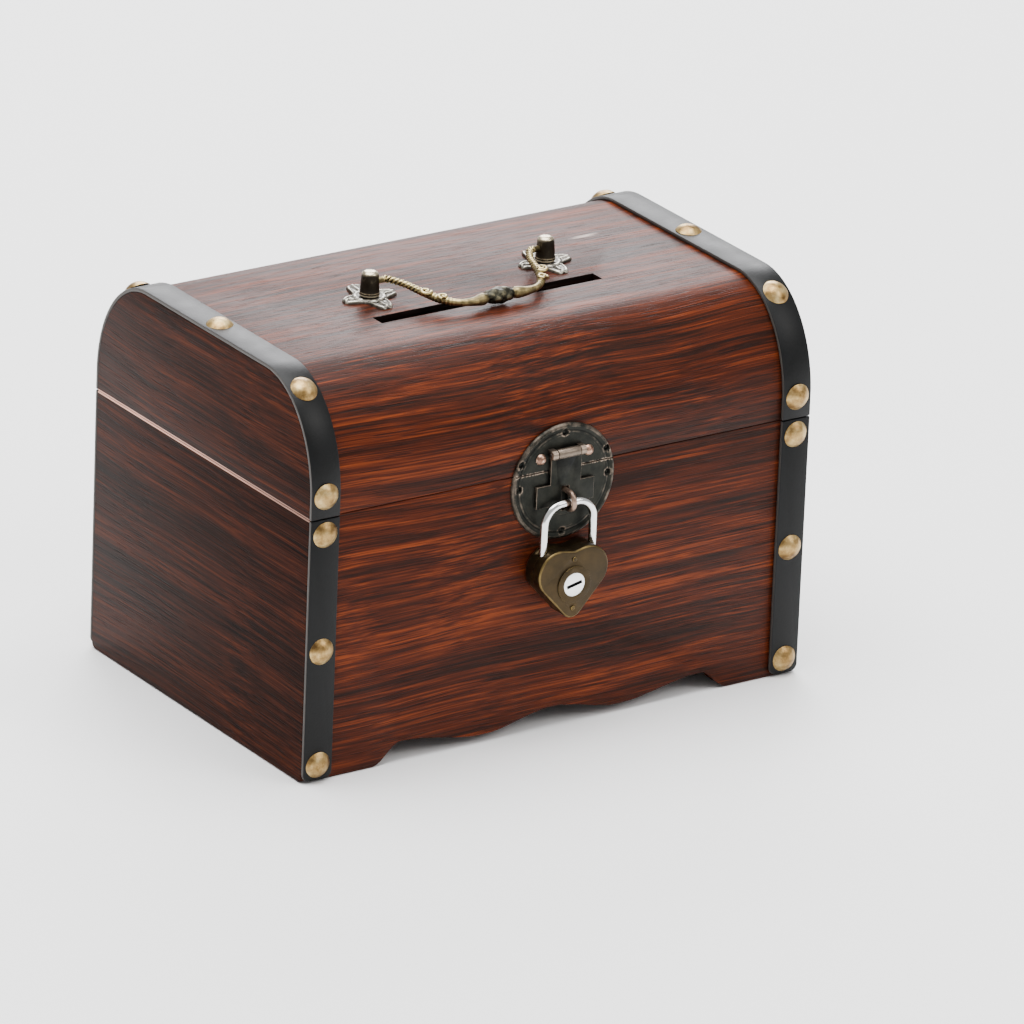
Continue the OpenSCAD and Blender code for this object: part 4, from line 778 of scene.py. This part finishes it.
skin = step(wire_tree, "GeometryNodeSetPosition", {"Geometry": skin, "Offset": out(step(
    wire_tree, "ShaderNodeVectorMath", {0: out(step(wire_tree, "GeometryNodeInputNormal")), 3: dip}, operation="SCALE"))})
end_tree(wire_tree, given, skin)


def wire_path(name, points, thick, rope=None, bead=None):
    """A line of points for the wire tree. thick, rope and bead are one value, or one for each point."""
    mesh = bpy.data.meshes.new(name)
    mesh.from_pydata(points, [(i, i + 1) for i in range(len(points) - 1)], [])
    for label, values in (("thick", thick), ("rope", rope or 0.0), ("bead", bead or 0.0)):
        kept_values = values if isinstance(values, list) else [values] * len(points)
        mesh.attributes.new(label, "FLOAT", "POINT").data.foreach_set("value", kept_values)
    return mesh


half_pitch, clinch_round, clinch_deep = staple_pitch / 2, 0.8 * staple_wire, -half_deep + board_thick + 0.72 * mm
staple_line = [(0, clinch_deep, staple_up + half_pitch + clinch_round + 2.5 * mm)]
staple_line += [(0, y, z) for y, z in arc(clinch_deep - clinch_round, staple_up + half_pitch + clinch_round, clinch_round, clinch_round, 0, -90, 8)]
staple_line += [(0, y, z) for y, z in arc(staple_bend, staple_up, half_pitch, half_pitch, 90, 270, 20)]
staple_line += [(0, y, z) for y, z in arc(clinch_deep - clinch_round, staple_up - half_pitch - clinch_round, clinch_round, clinch_round, 90, 0, 8)]
staple_line += [(0, clinch_deep, staple_up - half_pitch - clinch_round - 2.5 * mm)]
staple_copper = worn_metal("staple_bronze", "#1c1613", ("#4a3b33", "#7c6355"), "#b39a88", 0.42, 0.3)
staple = grow("staple", wire_path("staple", staple_line, staple_wire / 2), wire_tree, Sides=16, Finish=staple_copper)
rub_edges(settle(staple, "box_body", "latch_bronze", "latch_staple", crease=50))

nail_copper = worn_metal("nail_copper", "#2a1d17", ("#6d4f42", "#a07c68"), "#c9a890", 0.36, 0.28, cloud_size=700.0)
latch_nail_places = [((s * 6.9 * mm, -half_deep - plate_thick, 71.5 * mm), (0, -1, 0)) for s in (-1, 1)]
latch_nails = grow("latch_nails", nail_points("nails", latch_nail_places), nail_tree, Head_width=2.9 * mm, Head_height=1.1 * mm,
                   Shank_width=1 * mm, Shank_length=3.1 * mm, Tilt=0.05, Unevenness=0.05 * mm, Rings=6, Sides=20, Seed=4, Finish=nail_copper)
rub_edges(settle(latch_nails, "lid", "stud_brass", "latch_nails", crease=50))

# ---- Handle ----
# Each end of the handle has a cast base plate with forked ears and a turned bronze post, held by a nut inside the lid.
# The bail is cast in one: roped arms, a leaf on each shoulder, smooth swelling arms and an oval knot in the middle.
post_apart, lid_top, pivot_up, bail_reach = 25.6 * mm, 100 * mm, 104.2 * mm, 20.2 * mm
handle_brass = worn_metal("handle_brass", "#17120b", ("#4d452f", "#867650"), "#c8b47e", 0.42, 0.26, cloud_size=420.0)
plate_grey = worn_metal("plate_grey", "#1d1c1a", ("#45423d", "#716c64"), "#b0aa9c", 0.42, 0.28, cloud_size=380.0)
post_bronze = worn_metal("post_bronze", "#0c0b09", ("#211d18", "#3c362c"), "#b9ac92", 0.46, 0.25, cloud_size=240.0)


def ear(t):
    """How far an ear of the base plate stands out at an angle."""
    c = abs(math.cos(2 * t))
    return c ** 3 * (1 - 0.16 * c ** 60) / 0.896


def plate_reach(t):
    """Outline of the base plate: a disc with four forked ears, longer front to back."""
    tip = 7.4 if abs(math.cos(t)) > abs(math.sin(t)) else 8.6
    return (4.4 + (tip - 4.4) * ear(t)) * mm


def ear_height(share, t, x, y):
    """Raised work on the base plate: a collar round the post, a vein down each ear, rolled edges and dark hollows."""
    radius, off_axis = math.hypot(x, y) / mm, min(abs(x), abs(y)) / mm
    high = 0.62 + 0.26 * hump(radius - 3.5, 0.55) - 0.16 * hump(radius - 4.35, 0.22)
    if radius > 4.2:
        high += 0.22 * hump(off_axis, 0.3) + 0.2 * hump(share - 0.9, 0.07) - 0.14 * hump(off_axis - 0.75, 0.26)
    high -= 0.4 * max(0.0, (share - 0.95) / 0.05) ** 2
    return (high + 0.05 * noise.noise(Vector((x, y, 0)) * 900)) * mm


def turned(shape, profile, x, y, sides=40):
    """Adds a turned shape to a mesh, from a profile of radius and height, closed at both ends."""
    rows = [[shape.verts.new((x + r * math.cos(2 * math.pi * k / sides), y + r * math.sin(2 * math.pi * k / sides), z)) for k in range(sides)]
            for r, z in profile]
    for low, high in zip(rows, rows[1:]):
        for k in range(sides):
            j = (k + 1) % sides
            shape.faces.new((low[k], low[j], high[j], high[k]))
    shape.faces.new(rows[0][::-1])
    shape.faces.new(rows[-1])


post_foot, post_top = lid_top + 1 * mm, lid_top + 7.2 * mm
for side, s in (("left", -1), ("right", 1)):
    shape = relief_disc(40, 216, plate_reach, ear_height)
    shape.transform(Matrix.Translation((s * post_apart, 0, lid_top)))
    mesh = bpy.data.meshes.new("base_plate")
    shape.to_mesh(mesh)
    mesh.materials.append(plate_grey)
    rub_edges(settle(plain_object(f"{side}_base_plate", mesh), "lid", "handle_bronze", f"handle_{side}_rosette", crease=45))
    shape = bmesh.new()
    profile = [(1.3, -7.1), (1.3, -0.2), (2.3, -0.2), (2.55, 0.05), (2.55, 0.3), (2.46, 0.42), (2.44, 0.6), (2.5, 0.7), (2.48, 0.9), (2.4, 1.1),
               (2.32, 2.4), (2.22, 3.8), (2.14, 5.0), (2.05, 5.42), (1.85, 5.72), (1.5, 5.96), (1.0, 6.12), (0.5, 6.18), (0.1, 6.2)]
    turned(shape, [(r * mm, post_foot + z * mm) for r, z in profile], s * post_apart, 0)
    for v in shape.verts:
        if v.co.z > post_foot + 1 * mm:
            v.co += 0.05 * mm * noise.noise_vector(v.co * 300)
    mesh = bpy.data.meshes.new("post")
    shape.to_mesh(mesh)
    mesh.materials.append(post_bronze)
    post = plain_object(f"{side}_post", mesh)
    drill_shape = bmesh.new()
    rod(drill_shape, (s * (post_apart - 3.5 * mm), 0, pivot_up), (s * (post_apart + 0.6 * mm), 0, pivot_up), 0.85 * mm, rounding=0.0)
    drill_mesh = bpy.data.meshes.new("drill")
    drill_shape.to_mesh(drill_mesh)
    drill = plain_object(f"{side}_drill", drill_mesh)
    hole = post.modifiers.new("pivot_hole", "BOOLEAN")
    hole.object, hole.operation, hole.solver = drill, "DIFFERENCE", "EXACT"
    post = rub_edges(settle(post, "lid", "post_bronze", f"handle_{side}_post", crease=40))
    # Painted highlight: the domed top of each post is made brighter.
    brighten_where(post, 0.55, lambda x, y, z: z > 106.5)
    bpy.data.objects.remove(drill)
drawn_place(clean_copy("handle_nuts", "handle_nuts", plain_steel, 0.15 * mm), "lid", "plain_steel", "handle_nuts")

# Distance in from the post, share of the full reach, thickness, roping and beading, from one post to the middle.
bail_stops = [(3.6, 0.0, 0.85, 0, 0), (4.5, 0.005, 0.95, 1, 0), (5.7, 0.07, 0.92, 1, 0), (7.5, 0.24, 0.92, 1, 0), (8.9, 0.48, 1.0, 0.8, 0),
              (11.0, 0.73, 1.1, 0, 0.6), (14.0, 0.88, 0.85, 0, 0), (17.4, 0.93, 1.05, 0, 0), (20.4, 0.92, 1.5, 0, 0), (22.2, 0.91, 1.1, 0, 0), (25.6, 0.9, 1.0, 0, 0)]


def smooth_run(stops, steps):
    """A smooth line of values through rows of numbers."""
    run = []
    for i in range(len(stops) - 1):
        a, b, c, d = stops[max(i - 1, 0)], stops[i], stops[i + 1], stops[min(i + 2, len(stops) - 1)]
        for k in range(steps):
            t = k / steps
            run.append([0.5 * (2 * q + (r - p) * t + (2 * p - 5 * q + 4 * r - w) * t * t + (3 * q - p - 3 * r + w) * t ** 3)
                        for p, q, r, w in zip(a, b, c, d)])
    return run + [list(stops[-1])]


droop = Matrix.Translation((0, 0, pivot_up)) @ Matrix.Rotation(math.radians(6), 4, "X")


def on_bail(x, reach, up=0.0):
    """A point of the bail, from its distance along the pivot line and out from it."""
    return droop @ Vector((x, -reach, up))


half_run = smooth_run(bail_stops, 14)
whole_run = [(-post_apart + r[0] * mm, r[1], r[2], r[3], r[4]) for r in half_run]
whole_run += [(-x, share, thick, rope, bead) for x, share, thick, rope, bead in reversed(whole_run[:-1])]
pin_in = post_apart - 1.2 * mm
bail_line = [on_bail(-pin_in, 0), on_bail(-pin_in + 2.35 * mm, 0)] + [on_bail(x, share * bail_reach) for x, share, *rest in whole_run]
bail_line += [on_bail(pin_in - 2.35 * mm, 0), on_bail(pin_in, 0)]
bail_thick = [0.8 * mm, 0.8 * mm] + [row[2] * mm for row in whole_run] + [0.8 * mm, 0.8 * mm]
bail = grow("bail", wire_path("bail", bail_line, bail_thick, [0.0, 0.0] + [max(0.0, row[3]) for row in whole_run] + [0.0, 0.0],
                              [0.0, 0.0] + [max(0.0, row[4]) for row in whole_run] + [0.0, 0.0]),
            wire_tree, Sides=28, Strands=3.0, Twist_pitch=3.4 * mm, Twist_depth=0.38 * mm, Bead_pitch=0.9 * mm, Bead_depth=0.4 * mm, Finish=handle_brass)
rub_edges(settle(bail, "bail", "handle_bronze", "handle_bail", crease=60))

knot_bronze = worn_metal("knot_bronze", "#0a0a08", ("#24231c", "#3a382d"), "#958b6c", 0.46, 0.3, cloud_size=420.0)
knot_shape = bmesh.new()
for i, (x, long, wide) in enumerate(((0, 4.7, 2.25), (-4.7, 0.6, 1.55), (4.7, 0.6, 1.55))):
    lump = bmesh.ops.create_uvsphere(knot_shape, u_segments=72, v_segments=48, radius=1.0)["verts"]
    for v in lump:
        along_knot, around = v.co.z, math.atan2(v.co.y, v.co.x)
        carve = 0.0 if i else 0.2 * abs(math.sin(4.5 * along_knot + 2 * around)) + 0.2 * abs(math.sin(4.5 * along_knot - 2 * around)) - 0.2
        wide_here = wide * (1 + 0.5 * carve)
        v.co = on_bail((x + along_knot * long) * mm, 0.9 * bail_reach + v.co.y * wide_here * mm, v.co.x * wide_here * 0.85 * mm)
bmesh.ops.recalc_face_normals(knot_shape, faces=knot_shape.faces)
knot_mesh = bpy.data.meshes.new("bail_knot")
knot_shape.to_mesh(knot_mesh)
knot_mesh.materials.append(knot_bronze)
rub_edges(settle(plain_object("bail_knot", knot_mesh), "bail", "handle_bronze", crease=70))

for side, s in (("left", -1), ("right", 1)):
    for part, turns, size, inward, share, lean in (("scroll", 1.3, 1.4, 8.7, 0.56, 0.4), ("curl", 1.1, 1.25, 11.2, 0.76, 2.4)):
        curl_line, curl_thick = [], []
        for i in range(41):
            t = i / 40
            swing, far = lean + 2 * math.pi * turns * t, size * (1 - 0.72 * t) * mm
            x = -post_apart + inward * mm + far * math.cos(swing)
            curl_line.append(on_bail(-s * x, share * bail_reach + far * math.sin(swing), (0.9 + 0.3 * t) * mm))
            curl_thick.append((0.5 - 0.18 * t) * mm)
        curl = grow(f"{side}_{part}", wire_path("curl", curl_line, curl_thick), wire_tree, Sides=12, Finish=handle_brass)
        rub_edges(settle(curl, "bail", "handle_bronze", crease=60))

# ---- Padlock ----
# A small heart padlock hangs open-shouldered on the staple: a bright nickel shackle in a case of two brass shells,
# riveted together, with a raised ring round a nickel plug. The bolt and its spring lie inside.
bow_deep, bow_up, case_top, plug_up = -51.65 * mm, 60.15 * mm, 49.15 * mm, 39.97 * mm
case_front, case_back = bow_deep - 3.2 * mm, bow_deep + 3.2 * mm
case_brass = worn_metal("case_brass", "#3a2f1d", ("#2c2418", "#413522"), "#7f6b40", 0.4, 0.3, cloud_size=130.0, grit_depth=0.16)
nickel = worn_metal("bright_nickel", "#8b8b88", ("#dcdcda", "#eeeeec"), "#f6f6f4", 0.16, 0.12, cloud_size=200.0, metallic=1.0, grit_depth=0.05)

moved = Vector((0, from_origin, 0))


def case_edge(middle):
    """The outer edges of the case, and the edges of the ring on its front."""
    from_plug = math.hypot(middle.x, middle.z - plug_up)
    face = abs(middle.y - moved.y - case_front) < 0.05 * mm or abs(middle.y - moved.y - case_back) < 0.05 * mm
    on_outline = from_plug > 5.2 * mm and math.hypot(middle.x, middle.z - 33.75 * mm) > 0.9 * mm and math.hypot(middle.x, middle.z - 46.45 * mm) > 0.9 * mm
    return face and on_outline


front_shell = clean_copy("case_front", "padlock_front_shell", case_brass, 0.55 * mm, near=case_edge, steps=4)
ring_edge = front_shell.modifiers.new("eased", "BEVEL")
ring_edge.width, ring_edge.segments, ring_edge.limit_method, ring_edge.angle_limit = 0.2 * mm, 2, "ANGLE", math.radians(60)
drawn_place(front_shell, "lock_case", "lock_brass", "padlock_front_shell")
drawn_place(clean_copy("case_back", "padlock_back_shell", case_brass, 0.55 * mm, near=case_edge, steps=4), "lock_case", "lock_brass", "padlock_back_shell")
drawn_place(clean_copy("case_rivets", "padlock_rivets", case_brass, 0.12 * mm), "lock_case", "lock_brass", "padlock_rivets")

leg_off, bend = 7.1 * mm, 5 * mm
shackle_line = [(-leg_off, bow_deep, case_top - 8 * mm), (-leg_off, bow_deep, case_top - 7.8 * mm), (-leg_off, bow_deep, case_top)]
shackle_line += [(x, bow_deep, z) for x, z in arc(-leg_off + bend, bow_up - bend, bend, bend, 180, 90, 20)]
shackle_line += [(x, bow_deep, z) for x, z in arc(leg_off - bend, bow_up - bend, bend, bend, 90, 0, 20)]
shackle_line += [(leg_off, bow_deep, case_top), (leg_off, bow_deep, case_top - 3.6 * mm), (leg_off, bow_deep, case_top - 3.8 * mm)]
shackle_thick = [0.85 * mm] + [1 * mm] * (len(shackle_line) - 2) + [0.85 * mm]
shackle = grow("shackle", wire_path("shackle", shackle_line, shackle_thick), wire_tree, Sides=32, Finish=nickel)
notch_in, notch_low = leg_off - 1 * mm, case_top - 2.8 * mm
notch_outline = [(notch_in - 1 * mm, case_top - 1.35 * mm), (notch_in + 0.8 * mm, case_top - 1.35 * mm), (notch_in + 0.8 * mm, notch_low),
                 (notch_in, notch_low - 0.94 * mm), (notch_in - 1 * mm, notch_low - 0.94 * mm)]
file_cut = board("file_cut", notch_outline, "y", bow_deep - 2 * mm, 4 * mm, nickel)
notch = shackle.modifiers.new("notch", "BOOLEAN")
notch.object, notch.operation, notch.solver = file_cut, "DIFFERENCE", "EXACT"
rub_edges(settle(shackle, "shackle", "bright_nickel", "padlock_shackle", crease=50))
bpy.data.objects.remove(file_cut)

# Painted shade: the walls of the keyway in the plug take a near-black finish.
keyway_shade_finish = worn_metal("keyway_painted_shade", "#020202", ("#050505", "#0b0a09"), "#15130f", 0.7, 0.6, metallic=0.2)
plug = clean_copy("key_plug", "padlock_plug", nickel, 0.1 * mm)
plug.data.materials.append(keyway_shade_finish)
for face in plug.data.polygons:
    if case_front - 0.39 * mm < face.center.y - from_origin < case_front + 1.9 * mm and math.hypot(face.center.x, face.center.z - plug_up) < 2.6 * mm:
        face.material_index = 1
drawn_place(plug, "key_plug", "bright_nickel", "padlock_plug")
drawn_place(clean_copy("lock_bolt", "padlock_bolt", plain_steel, 0.08 * mm), "lock_bolt", "plain_steel", "padlock_bolt")
spring_steel = worn_metal("spring_steel", "#4a4a4a", ("#8f9092", "#b9babd"), "#dcdcde", 0.3, 0.22, cloud_size=900.0)
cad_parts["padlock_spring"].data.materials.clear()
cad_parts["padlock_spring"].data.materials.append(spring_steel)
